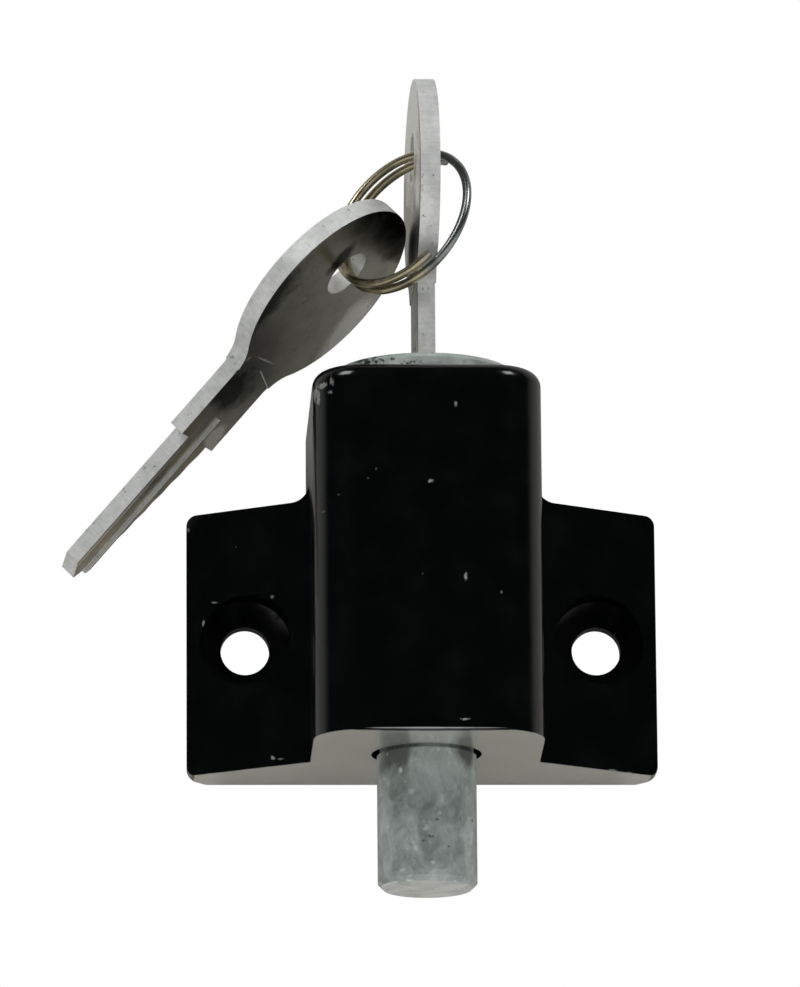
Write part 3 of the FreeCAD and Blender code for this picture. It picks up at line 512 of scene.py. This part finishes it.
def faceMaterial(name, darkSpots, brightWearAndReflections, scratched):
    # Tarnished nickel with painted dark reflections and shade, painted reflections, glints and
    # highlight lines, and worn shiny places; its map holds the piece's own width and length
    material, tree, shader = newTree(name)
    place = mapped(tree, keyMap(tree), (tarnishAndPaintedLight["mapUnit"] * mm,) * 3)
    patch = noise(tree, place, *tarnishAndPaintedLight["patch"])
    fine = noise(tree, place, *tarnishAndPaintedLight["fine"])
    wobble = ramp(tree, patch, *wideSpan, -tarnishAndPaintedLight["wobble"], tarnishAndPaintedLight["wobble"])
    base = mixColour(tree, ramp(tree, patch, *tarnishAndPaintedLight["wornSpan"]), tarnishAndPaintedLight["face"],
                     tarnishAndPaintedLight["worn"])
    # Painted dark reflections and shade, and bright places that are painted reflections and glints,
    # partly worn shiny metal
    dark = keySpots(tree, place, darkSpots, tarnishAndPaintedLight["darkSoft"], wobble)
    bright = keySpots(tree, place, brightWearAndReflections, tarnishAndPaintedLight["brightSoft"], wobble)
    base = mixColour(tree, times(tree, dark, tarnishAndPaintedLight["darkShown"]), base, tarnishAndPaintedLight["dark"])
    if scratched:
        # The painted highlight lines across the neck join the bright places
        bright = anyOf(tree, [times(tree, bright, tarnishAndPaintedLight["besideRidge"])] + [
            times(tree, line, tarnishAndPaintedLight["ridgeHighlightShown"]) for line in paintedRidgeHighlights(tree, place)])
    # A painted highlight line along the blade's groove
    shake = ramp(tree, patch, *wideSpan, -tarnishAndPaintedLight["grooveWobble"], tarnishAndPaintedLight["grooveWobble"])
    grooveHighlight = keySpots(tree, place, [tarnishAndPaintedLight["groove"]], tarnishAndPaintedLight["grooveSoft"], shake)
    bright = anyOf(tree, [bright, times(tree, grooveHighlight, tarnishAndPaintedLight["grooveShown"])])
    base = mixColour(tree, times(tree, bright, tarnishAndPaintedLight["brightShown"]), base, tarnishAndPaintedLight["bright"])

    strokeWay = mapped(tree, place, tarnishAndPaintedLight["strokeStretch"],
                       (0, 0, math.radians(tarnishAndPaintedLight["strokeTurn"])))
    strokes = ramp(tree, noise(tree, strokeWay, *tarnishAndPaintedLight["strokes"]), *tarnishAndPaintedLight["strokeSpan"])
    if scratched:
        here = keySpots(tree, place, [tarnishAndPaintedLight["scratches"]], tarnishAndPaintedLight["scratchSoft"], wobble)
        scratches = times(tree, times(tree, here, strokes), tarnishAndPaintedLight["scratchShown"])
        base = mixColour(tree, scratches, base, tarnishAndPaintedLight["worn"])
    base = mixColour(tree, ramp(tree, fine, *tarnishAndPaintedLight["speckSpan"]), base, tarnishAndPaintedLight["dark"])
    brassy = nearLevel(tree, axisOf(tree, place, "Y"), 0.0, tarnishAndPaintedLight["brassRise"])
    brassy = times(tree, brassy, ramp(tree, patch, *tarnishAndPaintedLight["brassPatch"]))
    base = mixColour(tree, brassy, base, tarnishAndPaintedLight["brass"])
    link(tree, base, shader.inputs["Base Color"])
    metallic = ramp(tree, bright, 0.0, 1.0, tarnishAndPaintedLight["metallic"], tarnishAndPaintedLight["brightMetallic"])
    link(tree, metallic, shader.inputs["Metallic"])
    roughness = mixValue(tree, dark, ramp(tree, patch, *narrowSpan, *tarnishAndPaintedLight["roughness"]),
                         tarnishAndPaintedLight["darkRoughness"])
    roughness = mixValue(tree, bright, roughness, tarnishAndPaintedLight["brightRoughness"])
    link(tree, roughness, shader.inputs["Roughness"])
    relief = plus(tree, times(tree, strokes, tarnishAndPaintedLight["strokeRelief"]), fine)
    bump(tree, shader, relief, *tarnishAndPaintedLight["bump"])
    return material


rim = {
    "colour": (0.98, 0.99, 0.98), "shade": (0.58, 0.60, 0.58), "pit": (0.10, 0.11, 0.10),
    "metallic": 0.35, "roughness": (0.50, 0.34), "bump": (0.22, 0.03),
    "strokeStretch": (1.5, 26.0, 1.0), "strokes": (1.0, 5.0, 0.65), "strokeShare": 0.35,
    "patch": (300.0, 5.0, 0.6), "patchShare": 0.65, "fine": (1500.0, 5.0, 0.62),
    "smudge": (900.0, 4.0, 0.6), "smudgeSpan": (0.35, 0.65, -0.22, 0.22),
    "paintedGlare": [((-1.5, -26.0, 40.5), (3.0, 5.0, 4.6))], "paintedGlareSoft": 0.5,
    "paintedGlareSpan": (0.40, 0.55, 0.1, 0.8),
    "pitSpan": (0.62, 0.70), "pitPatch": (0.62, 0.50, 0.15, 0.85),
}


def rimMaterial():
    # The keys' cut edges: matt, with cross strokes, small dark pits and a painted glare near the
    # inserted key's front edge
    material, tree, shader = newTree("keyRim")
    place = objectPlace(tree)
    strokes = noise(tree, mapped(tree, keyMap(tree), rim["strokeStretch"]), *rim["strokes"])
    patch = noise(tree, place, *rim["patch"])
    fine = noise(tree, place, *rim["fine"])
    tone = plus(tree, ramp(tree, patch, *narrowSpan, 0.0, rim["patchShare"]),
                ramp(tree, strokes, *narrowSpan, 0.0, rim["strokeShare"]))
    smudge = ramp(tree, noise(tree, place, *rim["smudge"]), *rim["smudgeSpan"])
    tone = plus(tree, tone, smudge)
    # A painted glare on the inserted key's front edge
    paintedGlare = blobs(tree, place, rim["paintedGlare"], rim["paintedGlareSoft"], smudge)
    tone = plus(tree, tone, times(tree, paintedGlare, ramp(tree, fine, *rim["paintedGlareSpan"])))
    base = mixColour(tree, tone, rim["shade"], rim["colour"])
    pits = times(tree, ramp(tree, fine, *rim["pitSpan"]), ramp(tree, patch, *rim["pitPatch"]))
    link(tree, mixColour(tree, pits, base, rim["pit"]), shader.inputs["Base Color"])
    shader.inputs["Metallic"].default_value = rim["metallic"]
    link(tree, ramp(tree, tone, 0.0, 1.0, *rim["roughness"]), shader.inputs["Roughness"])
    bump(tree, shader, plus(tree, strokes, fine), *rim["bump"])
    return material


ringWire = {
    "brass": (0.60, 0.53, 0.37), "steel": (0.40, 0.44, 0.45), "dark": (0.13, 0.13, 0.11),
    "metallic": 1.0, "roughness": (0.20, 0.34), "bump": (0.06, 0.02),
    "patch": (420.0, 5.0, 0.6), "fine": (2600.0, 4.0, 0.6), "darkSpan": (0.48, 0.70, 0.0, 0.6),
    "brassFrom": 2.5, "brassFull": -1.5, "brassWander": 2.0,
}


def ringMaterial():
    # Nickel wire, worn to a brassy tone towards its left side
    material, tree, shader = newTree("ringNickel")
    place = objectPlace(tree)
    patch = noise(tree, place, *ringWire["patch"])
    fine = noise(tree, place, *ringWire["fine"])
    wander = ringWire["brassWander"] * mm
    x = plus(tree, axisOf(tree, place, "X"), ramp(tree, patch, *narrowSpan, -wander, wander))
    leftward = ramp(tree, x, ringWire["brassFrom"] * mm, ringWire["brassFull"] * mm)
    base = mixColour(tree, leftward, ringWire["steel"], ringWire["brass"])
    base = mixColour(tree, ramp(tree, patch, *ringWire["darkSpan"]), base, ringWire["dark"])
    link(tree, base, shader.inputs["Base Color"])
    shader.inputs["Metallic"].default_value = ringWire["metallic"]
    link(tree, ramp(tree, patch, *narrowSpan, *ringWire["roughness"]), shader.inputs["Roughness"])
    bump(tree, shader, fine, *ringWire["bump"])
    return material


plainMetal = {  # for each finish its colour, its shade and its least roughness
    "grain": (1400.0, 4.0), "patch": (490.0, 4.0, 0.6), "moreRough": 0.12, "bump": (0.12, 0.02),
    "turnedBrass": ((0.66, 0.56, 0.34), (0.52, 0.43, 0.25), 0.28),
    "stampedBrass": ((0.70, 0.58, 0.34), (0.56, 0.46, 0.27), 0.32),
    "springSteel": ((0.50, 0.50, 0.49), (0.36, 0.36, 0.36), 0.26),
    "blackSteel": ((0.05, 0.05, 0.055), (0.03, 0.03, 0.03), 0.36),
}


def metalMaterial(name):
    colour, shade, least = plainMetal[name]
    material, tree, shader = newTree(name)
    place = objectPlace(tree)
    patch = noise(tree, place, *plainMetal["patch"])
    grain = noise(tree, place, *plainMetal["grain"])
    base = mixColour(tree, ramp(tree, patch, *narrowSpan), shade, colour)
    link(tree, base, shader.inputs["Base Color"])
    shader.inputs["Metallic"].default_value = 1.0
    roughness = ramp(tree, grain, *narrowSpan, least, least + plainMetal["moreRough"])
    link(tree, roughness, shader.inputs["Roughness"])
    bump(tree, shader, grain, *plainMetal["bump"])
    return material


finishes = {
    "blackPaint": paintMaterial(),
    "mottledZinc": zincMaterial(),
    "wornPlate": plateMaterial(),
    "spareFace": faceMaterial("spareFace", tarnishAndPaintedLight["sparePaintedDark"], tarnishAndPaintedLight["spareWearAndGlints"], True),
    "insertedFace": faceMaterial("insertedFace", tarnishAndPaintedLight["insertedPaintedDark"],
                                 tarnishAndPaintedLight["insertedPaintedBright"], False),
    "keyRim": rimMaterial(),
    "ringNickel": ringMaterial(),
    "turnedBrass": metalMaterial("turnedBrass"),
    "stampedBrass": metalMaterial("stampedBrass"),
    "springSteel": metalMaterial("springSteel"),
    "blackSteel": metalMaterial("blackSteel"),
}
print("materials ready:", len(finishes))


def bodyOf(nodeName):
    return next(body for body, members in frame["record"]["behaviour"]["bodies"].items()
                if nodeName in members)


def addPiece(name, mesh, nodeName, materials):
    piece = bpy.data.objects.new(name, mesh)
    scene.collection.objects.link(piece)
    mesh.materials.clear()
    for material in materials:
        mesh.materials.append(finishes[material])
    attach(piece, bodyOf(nodeName))
    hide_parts(nodeName)
    return piece


def bakeModifiers(piece):
    seen = piece.evaluated_get(bpy.context.evaluated_depsgraph_get())
    mesh = bpy.data.meshes.new_from_object(seen)
    mesh.name = piece.name
    bpy.data.objects.remove(piece)
    return mesh


cleaning = {"mergeReach": 0.0005, "flatAngle": 0.6}  # millimetres and degrees


def softenedMesh(nodeName, edgeWidth, segments, sharpAngle, rounder=None):
    # A merged copy of the node with flat faces whole, and every sharp edge rounded a little
    mesh = nodes[nodeName].data.copy()
    work = bmesh.new()
    work.from_mesh(mesh)
    bmesh.ops.remove_doubles(work, verts=work.verts, dist=cleaning["mergeReach"] * mm)
    bmesh.ops.dissolve_limit(work, angle_limit=math.radians(cleaning["flatAngle"]),
                             verts=work.verts, edges=work.edges)
    weight = work.edges.layers.float.new("bevel_weight_edge")
    for edge in work.edges:
        if len(edge.link_faces) == 2 and edge.calc_face_angle() > math.radians(sharpAngle):
            edge[weight] = 1.0 if rounder and rounder(edge) else edgeWidth[0] / edgeWidth[1]
    work.to_mesh(mesh)
    work.free()
    if "custom_normal" in mesh.attributes:
        mesh.attributes.remove(mesh.attributes["custom_normal"])
    for polygon in mesh.polygons:
        polygon.use_smooth = True
    piece = bpy.data.objects.new("work_" + nodeName, mesh)
    scene.collection.objects.link(piece)
    bevel = piece.modifiers.new("edges", "BEVEL")
    bevel.width = edgeWidth[1] * mm
    bevel.segments = segments
    bevel.limit_method = "WEIGHT"
    bevel.use_clamp_overlap = True
    bevel.harden_normals = False
    weighted = piece.modifiers.new("normals", "WEIGHTED_NORMAL")
    weighted.keep_sharp = True
    bpy.context.view_layer.update()
    return bakeModifiers(piece)


footEdge = {"above": 0.01, "front": -19.0}


def bossFoot(edge):
    # The boss's front lower edge, which is rounded more than the others
    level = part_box("housing")[0].z + footEdge["above"] * mm
    return all(v.co.z < level and v.co.y < footEdge["front"] * mm for v in edge.verts)


# For each node: its piece, the lesser and larger edge radius in millimetres, segments, the
# angle past which an edge is sharp, the finish, and the test for edges with the larger radius
softened = {
    "housing": ("housingShell", (0.28, 0.56), 5, 24.0, "blackPaint", bossFoot),
    "cylinder_shell": ("barrelShell", (0.12, 0.12), 2, 24.0, "wornPlate", None),
    "bolt": ("roundBolt", (0.16, 0.16), 3, 24.0, "mottledZinc", None),
    "plug": ("keyPlug", (0.08, 0.08), 2, 24.0, "turnedBrass", None),
    "latch": ("sideLatch", (0.15, 0.15), 2, 24.0, "mottledZinc", None),
}
for nodeName, (name, edgeWidth, segments, sharpAngle, coat, rounder) in softened.items():
    mesh = softenedMesh(nodeName, edgeWidth, segments, sharpAngle, rounder)
    addPiece(name, mesh, nodeName, [coat])
    print("softened", nodeName)


keys = {  # shoulder in millimetres, turn in degrees, and which side across is more worn
    "inserted_key": {"piece": "insertedKey", "face": "insertedFace", "shoulder": (0.0, -15.0, 25.6),
                     "yaw": 2.5, "pitch": 0.0, "roll": 0.0, "worn": -1},
    "spare_key": {"piece": "spareKey", "face": "spareFace", "shoulder": (-23.538, -7.568, 21.147),
                  "yaw": -19.3, "pitch": 45.0, "roll": 1.8, "worn": 1},
}
keyEdge = {"width": (0.16, 0.16), "segments": 3, "sharpAngle": 24.0, "facing": 0.8, "mapAside": 7.0}


def makeKey(nodeName):
    spec = keys[nodeName]
    mesh = softenedMesh(nodeName, keyEdge["width"], keyEdge["segments"], keyEdge["sharpAngle"])
    angles = [math.radians(spec[k]) for k in ("roll", "pitch", "yaw")]
    turn = Euler(angles, "XYZ").to_matrix().inverted()
    layer = mesh.uv_layers.get("alongKey") or mesh.uv_layers.new(name="alongKey")
    unit = tarnishAndPaintedLight["mapUnit"] * mm
    shoulder = Vector(spec["shoulder"]) * mm
    addPiece(spec["piece"], mesh, nodeName, [spec["face"], "keyRim"])
    for polygon in mesh.polygons:
        normal = turn @ polygon.normal
        onFace = abs(normal.x) > keyEdge["facing"]
        polygon.material_index = 0 if onFace else 1
        # The less worn side takes another part of the map, clear of the dark and bright places
        lessWorn = normal.x * spec["worn"] < -keyEdge["facing"]
        aside = keyEdge["mapAside"] if lessWorn else 0.0
        for loop in polygon.loop_indices:
            spot = turn @ (mesh.vertices[mesh.loops[loop].vertex_index].co - shoulder)
            across = spot.y if onFace else spot.x
            layer.data[loop].uv = (across / unit + aside, spot.z / unit)


for nodeName in keys:
    makeKey(nodeName)
print("keys ready")


def windingTree():
    # One tree of nodes that makes the ring and all the springs
    tree = bpy.data.node_groups.new("woundWire", "GeometryNodeTree")
    for name, kind in (
            ("Mean Radius", "NodeSocketFloat"), ("Wire Radius", "NodeSocketFloat"),
            ("Length", "NodeSocketFloat"), ("Turns", "NodeSocketFloat"),
            ("Steps Per Turn", "NodeSocketInt"), ("Wire Sides", "NodeSocketInt"),
            ("Finish", "NodeSocketMaterial")):
        tree.interface.new_socket(name, in_out="INPUT", socket_type=kind)
    tree.interface.new_socket("Geometry", in_out="OUTPUT", socket_type="NodeSocketGeometry")
    given = tree.nodes.new("NodeGroupInput")
    result = tree.nodes.new("NodeGroupOutput")
    spiral = tree.nodes.new("GeometryNodeCurveSpiral")
    spiral.inputs["Reverse"].default_value = True
    section = tree.nodes.new("GeometryNodeCurvePrimitiveCircle")
    sweep = tree.nodes.new("GeometryNodeCurveToMesh")
    sweep.inputs["Fill Caps"].default_value = True
    shade = tree.nodes.new("GeometryNodeSetShadeSmooth")
    coat = tree.nodes.new("GeometryNodeSetMaterial")
    for source, target in (
            (given.outputs["Steps Per Turn"], spiral.inputs["Resolution"]),
            (given.outputs["Turns"], spiral.inputs["Rotations"]),
            (given.outputs["Mean Radius"], spiral.inputs["Start Radius"]),
            (given.outputs["Mean Radius"], spiral.inputs["End Radius"]),
            (given.outputs["Length"], spiral.inputs["Height"]),
            (given.outputs["Wire Sides"], section.inputs["Resolution"]),
            (given.outputs["Wire Radius"], section.inputs["Radius"]),
            (spiral.outputs[0], sweep.inputs["Curve"]),
            (section.outputs[0], sweep.inputs["Profile Curve"]),
            (sweep.outputs[0], shade.inputs["Geometry"]),
            (shade.outputs[0], coat.inputs["Geometry"]),
            (given.outputs["Finish"], coat.inputs["Material"]),
            (coat.outputs[0], result.inputs[0])):
        link(tree, source, target)
    return tree


winding = windingTree()


def makeWinding(name, nodeName, finish, place, spec):
    # The spec gives the mean radius, wire radius and length in millimetres, then the turns,
    # the steps in each turn and the sides of the wire
    holder = bpy.data.objects.new("work_" + name, bpy.data.meshes.new("work_" + name))
    scene.collection.objects.link(holder)
    modifier = holder.modifiers.new("winding", "NODES")
    modifier.node_group = winding
    radius, wireRadius, length, turns, steps, sides = spec
    wanted = {"Mean Radius": radius * mm, "Wire Radius": wireRadius * mm, "Length": length * mm,
              "Turns": turns, "Steps Per Turn": steps, "Wire Sides": sides,
              "Finish": finishes[finish]}
    for item in winding.interface.items_tree:
        if item.in_out == "INPUT":
            modifier[item.identifier] = wanted[item.name]
    bpy.context.view_layer.update()
    mesh = bakeModifiers(holder)
    mesh.name = name
    mesh.transform(place)
    return addPiece(name, mesh, nodeName, [finish])


ring = {  # the split ring; lengths in millimetres, turns in degrees
    "size": 15.8, "wire": 0.9, "lead": 1.35, "laps": 1.68, "start": -20.0,
    "yaw": 50.0, "pitch": -70.7, "roll": -0.7, "steps": 96, "sides": 20,
}


def helixMiddle(place, radius, length):
    # Middle of the box around the ring's centre line
    spots = []
    for i in range(int(ring["steps"] * ring["laps"]) + 1):
        lap = i / ring["steps"]
        spin = 2 * math.pi * lap
        spots.append(place @ Vector((radius * math.cos(spin), radius * math.sin(spin),
                                     length * lap / ring["laps"])))
    low = Vector([min(s[k] for s in spots) for k in range(3)])
    high = Vector([max(s[k] for s in spots) for k in range(3)])
    return (low + high) / 2


def makeRing():
    length = ring["laps"] * ring["lead"]
    angles = [math.radians(ring[k]) for k in ("roll", "pitch", "yaw")]
    helixPlace = (Euler(angles, "XYZ").to_matrix().to_4x4()
                  @ Matrix.Translation((0, 0, -length / 2 * mm))
                  @ Matrix.Rotation(math.radians(ring["start"]), 4, "Z"))
    low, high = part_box("key_ring")
    middle = helixMiddle(helixPlace, ring["size"] / 2 * mm, length * mm)
    place = Matrix.Translation((low + high) / 2 - middle) @ helixPlace
    makeWinding("splitRing", "key_ring", "ringNickel", place,
                (ring["size"] / 2, ring["wire"] / 2, length, ring["laps"],
                 ring["steps"], ring["sides"]))


makeRing()

coils = {  # lengths in millimetres; the wafers' springs lie turned with the plug
    "return": {"wire": 0.8, "turns": 3.0, "steps": 48, "sides": 14},
    "wafer": {"wire": 0.16, "turns": 3.0, "steps": 24, "sides": 8},
    "plugTurn": 2.5, "wafers": 5, "lift": 1.0,
}


def coilSpec(kind, outerSize, outerLength):
    coil = coils[kind]
    return (outerSize / 2 / mm - coil["wire"] / 2, coil["wire"] / 2,
            outerLength / mm - coil["wire"], coil["turns"], coil["steps"], coil["sides"])


def makeReturnSpring():
    low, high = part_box("return_spring")
    foot = Vector(((low.x + high.x) / 2, (low.y + high.y) / 2,
                   low.z + coils["return"]["wire"] / 2 * mm))
    makeWinding("returnSpring", "return_spring", "springSteel", Matrix.Translation(foot),
                coilSpec("return", high.x - low.x, high.z - low.z))


def makeWaferSpring(i):
    nodeName = "wafer_spring_%d" % i
    low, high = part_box(nodeName)
    depth = high.y - low.y
    spec = coilSpec("wafer", high.z - low.z, depth)
    lay = (Matrix.Rotation(math.radians(coils["plugTurn"]), 4, "Z")
           @ Matrix.Rotation(math.radians(-90), 4, "X"))
    middle = (low + high) / 2
    place = Matrix.Translation(middle) @ lay @ Matrix.Translation((0, 0, -spec[2] / 2 * mm))
    spring = makeWinding("waferSpring%d" % i, nodeName, "springSteel", place, spec)
    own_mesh(spring)


makeReturnSpring()
for i in range(1, coils["wafers"] + 1):
    makeWaferSpring(i)
print("windings ready")

# Inner nodes that stay as they are
kept = {"guide_screw": "blackSteel", "bolt_cross_pin": "mottledZinc", "plug_clip": "springSteel"}
kept.update({"wafer_%d" % i: "stampedBrass" for i in range(1, coils["wafers"] + 1)})
for nodeName, coat in kept.items():
    mesh = nodes[nodeName].data
    mesh.materials.clear()
    mesh.materials.append(finishes[coat])
print("inner nodes coated")

stageSet = {  # metres; the wall fades from its colour to its edge's between two distances
    "floorLevel": -0.30, "floorSize": 8.0, "wallGap": 0.0012, "wallSize": 1.6, "matt": 0.9,
    "floorColour": (0.82, 0.82, 0.81), "wallColour": (0.56, 0.55, 0.52),
    "wallEdge": (0.08, 0.08, 0.08), "wallNear": 0.07, "wallFar": 0.30,
    "ambient": 0.50, "dark": 0.011, "bright": 0.45, "roomSpan": (-0.05, 0.45),
}


def flatSheet(name, centre, size, normal, material):
    mesh = bpy.data.meshes.new(name)
    half = size / 2
    if normal == "up":
        corners = [(-half, -half, 0), (half, -half, 0), (half, half, 0), (-half, half, 0)]
    else:
        corners = [(-half, 0, -half), (half, 0, -half), (half, 0, half), (-half, 0, half)]
    mesh.from_pydata([Vector(c) + Vector(centre) for c in corners], [], [(0, 1, 2, 3)])
    sheet = bpy.data.objects.new(name, mesh)
    scene.collection.objects.link(sheet)
    mesh.materials.append(material)


def floorMaterial():
    material, tree, shader = newTree("paleFloor")
    setOrLink(tree, stageSet["floorColour"], shader.inputs["Base Color"])
    shader.inputs["Roughness"].default_value = stageSet["matt"]
    return material


def wallMaterial():
    # From the front the camera sees plain white, and reflections see a lit sheet that fades
    # outwards; from behind, and to all other rays, it is clear
    material, tree, shader = newTree("paleWall")
    material.cycles.emission_sampling = "NONE"  # it lights nothing
    shader.inputs["Roughness"].default_value = stageSet["matt"]
    reach = vectorMath(tree, "LENGTH", objectPlace(tree))
    away = ramp(tree, reach, stageSet["wallNear"], stageSet["wallFar"])
    tone = mixColour(tree, away, stageSet["wallColour"], stageSet["wallEdge"])
    link(tree, tone, shader.inputs["Base Color"])
    output = next(n for n in tree.nodes if n.type == "OUTPUT_MATERIAL")
    path = tree.nodes.new("ShaderNodeLightPath")
    side = tree.nodes.new("ShaderNodeNewGeometry")
    white = tree.nodes.new("ShaderNodeEmission")
    clear = tree.nodes.new("ShaderNodeBsdfTransparent")
    byCamera = tree.nodes.new("ShaderNodeMixShader")
    byRay = tree.nodes.new("ShaderNodeMixShader")
    link(tree, path.outputs["Is Camera Ray"], byCamera.inputs[0])
    link(tree, shader.outputs[0], byCamera.inputs[1])
    link(tree, white.outputs[0], byCamera.inputs[2])
    seen = anyOf(tree, [path.outputs["Is Camera Ray"], path.outputs["Is Glossy Ray"]])
    ahead = math2(tree, "SUBTRACT", 1.0, side.outputs["Backfacing"])
    link(tree, times(tree, seen, ahead), byRay.inputs[0])
    link(tree, clear.outputs[0], byRay.inputs[1])
    link(tree, byCamera.outputs[0], byRay.inputs[2])
    link(tree, byRay.outputs[0], output.inputs["Surface"])
    return material


flatSheet("floor", (0, 0, stageSet["floorLevel"]), stageSet["floorSize"], "up", floorMaterial())
flatSheet("wall", (0, stageSet["wallGap"], 0), stageSet["wallSize"], "front", wallMaterial())


def makeWorld():
    # White to the camera; a dim room in front and a pale one behind for reflections
    world = bpy.data.worlds.new("studio")
    scene.world = world
    world.use_nodes = True
    tree = world.node_tree
    tree.nodes.clear()
    output = tree.nodes.new("ShaderNodeOutputWorld")
    path = tree.nodes.new("ShaderNodeLightPath")
    coords = tree.nodes.new("ShaderNodeTexCoord")
    y = axisOf(tree, coords.outputs["Generated"], "Y")
    glow = ramp(tree, y, *stageSet["roomSpan"], stageSet["dark"], stageSet["bright"])
    strength = mixValue(tree, path.outputs["Is Glossy Ray"], stageSet["ambient"], glow)
    strength = mixValue(tree, path.outputs["Is Camera Ray"], strength, 1.0)
    background = tree.nodes.new("ShaderNodeBackground")
    link(tree, strength, background.inputs["Strength"])
    link(tree, background.outputs[0], output.inputs["Surface"])


makeWorld()

lamps = {  # place, aimed at, width, height, watts
    "upperLeft": ((-0.62, -0.60, 0.86), (0, -0.01, 0.01), 0.45, 0.45, 4.5),
    "upperRight": ((0.62, -0.60, 0.86), (0, -0.01, 0.01), 0.40, 0.40, 3.5),
}
for name, (place, aim, width, height, watts) in lamps.items():
    data = bpy.data.lights.new(name, "AREA")
    data.shape = "RECTANGLE"
    data.size = width
    data.size_y = height
    data.energy = watts
    lamp = bpy.data.objects.new(name, data)
    lamp.location = place
    lamp.rotation_euler = (Vector(aim) - Vector(place)).to_track_quat("-Z", "Y").to_euler()
    lamp.visible_camera = False
    scene.collection.objects.link(lamp)

cameraSet = {  # place and lens in millimetres, turns in radians, clip in metres
    "place": (-31.18, -801.07, -179.92), "yaw": 0.0365, "pitch": 0.241, "roll": -0.0075,
    "lens": 291.8, "sensor": 36.0, "clip": (0.05, 20.0),
}


def makeCamera():
    yaw, pitch, roll = (cameraSet[k] for k in ("yaw", "pitch", "roll"))
    ahead = Vector((math.sin(yaw) * math.cos(pitch), math.cos(yaw) * math.cos(pitch),
                    math.sin(pitch)))
    side = Vector((math.cos(yaw), -math.sin(yaw), 0))
    above = side.cross(ahead)
    right = side * math.cos(roll) + above * math.sin(roll)
    up = above * math.cos(roll) - side * math.sin(roll)
    data = bpy.data.cameras.new("photoView")
    data.lens = cameraSet["lens"]
    data.sensor_width = cameraSet["sensor"]
    data.clip_start, data.clip_end = cameraSet["clip"]
    camera = bpy.data.objects.new("photoView", data)
    turn = Matrix((right, up, -ahead)).transposed().to_4x4()
    camera.matrix_world = Matrix.Translation(Vector(cameraSet["place"]) * mm) @ turn
    scene.collection.objects.link(camera)
    scene.camera = camera


makeCamera()
print("stage ready")

bpy.context.view_layer.update()
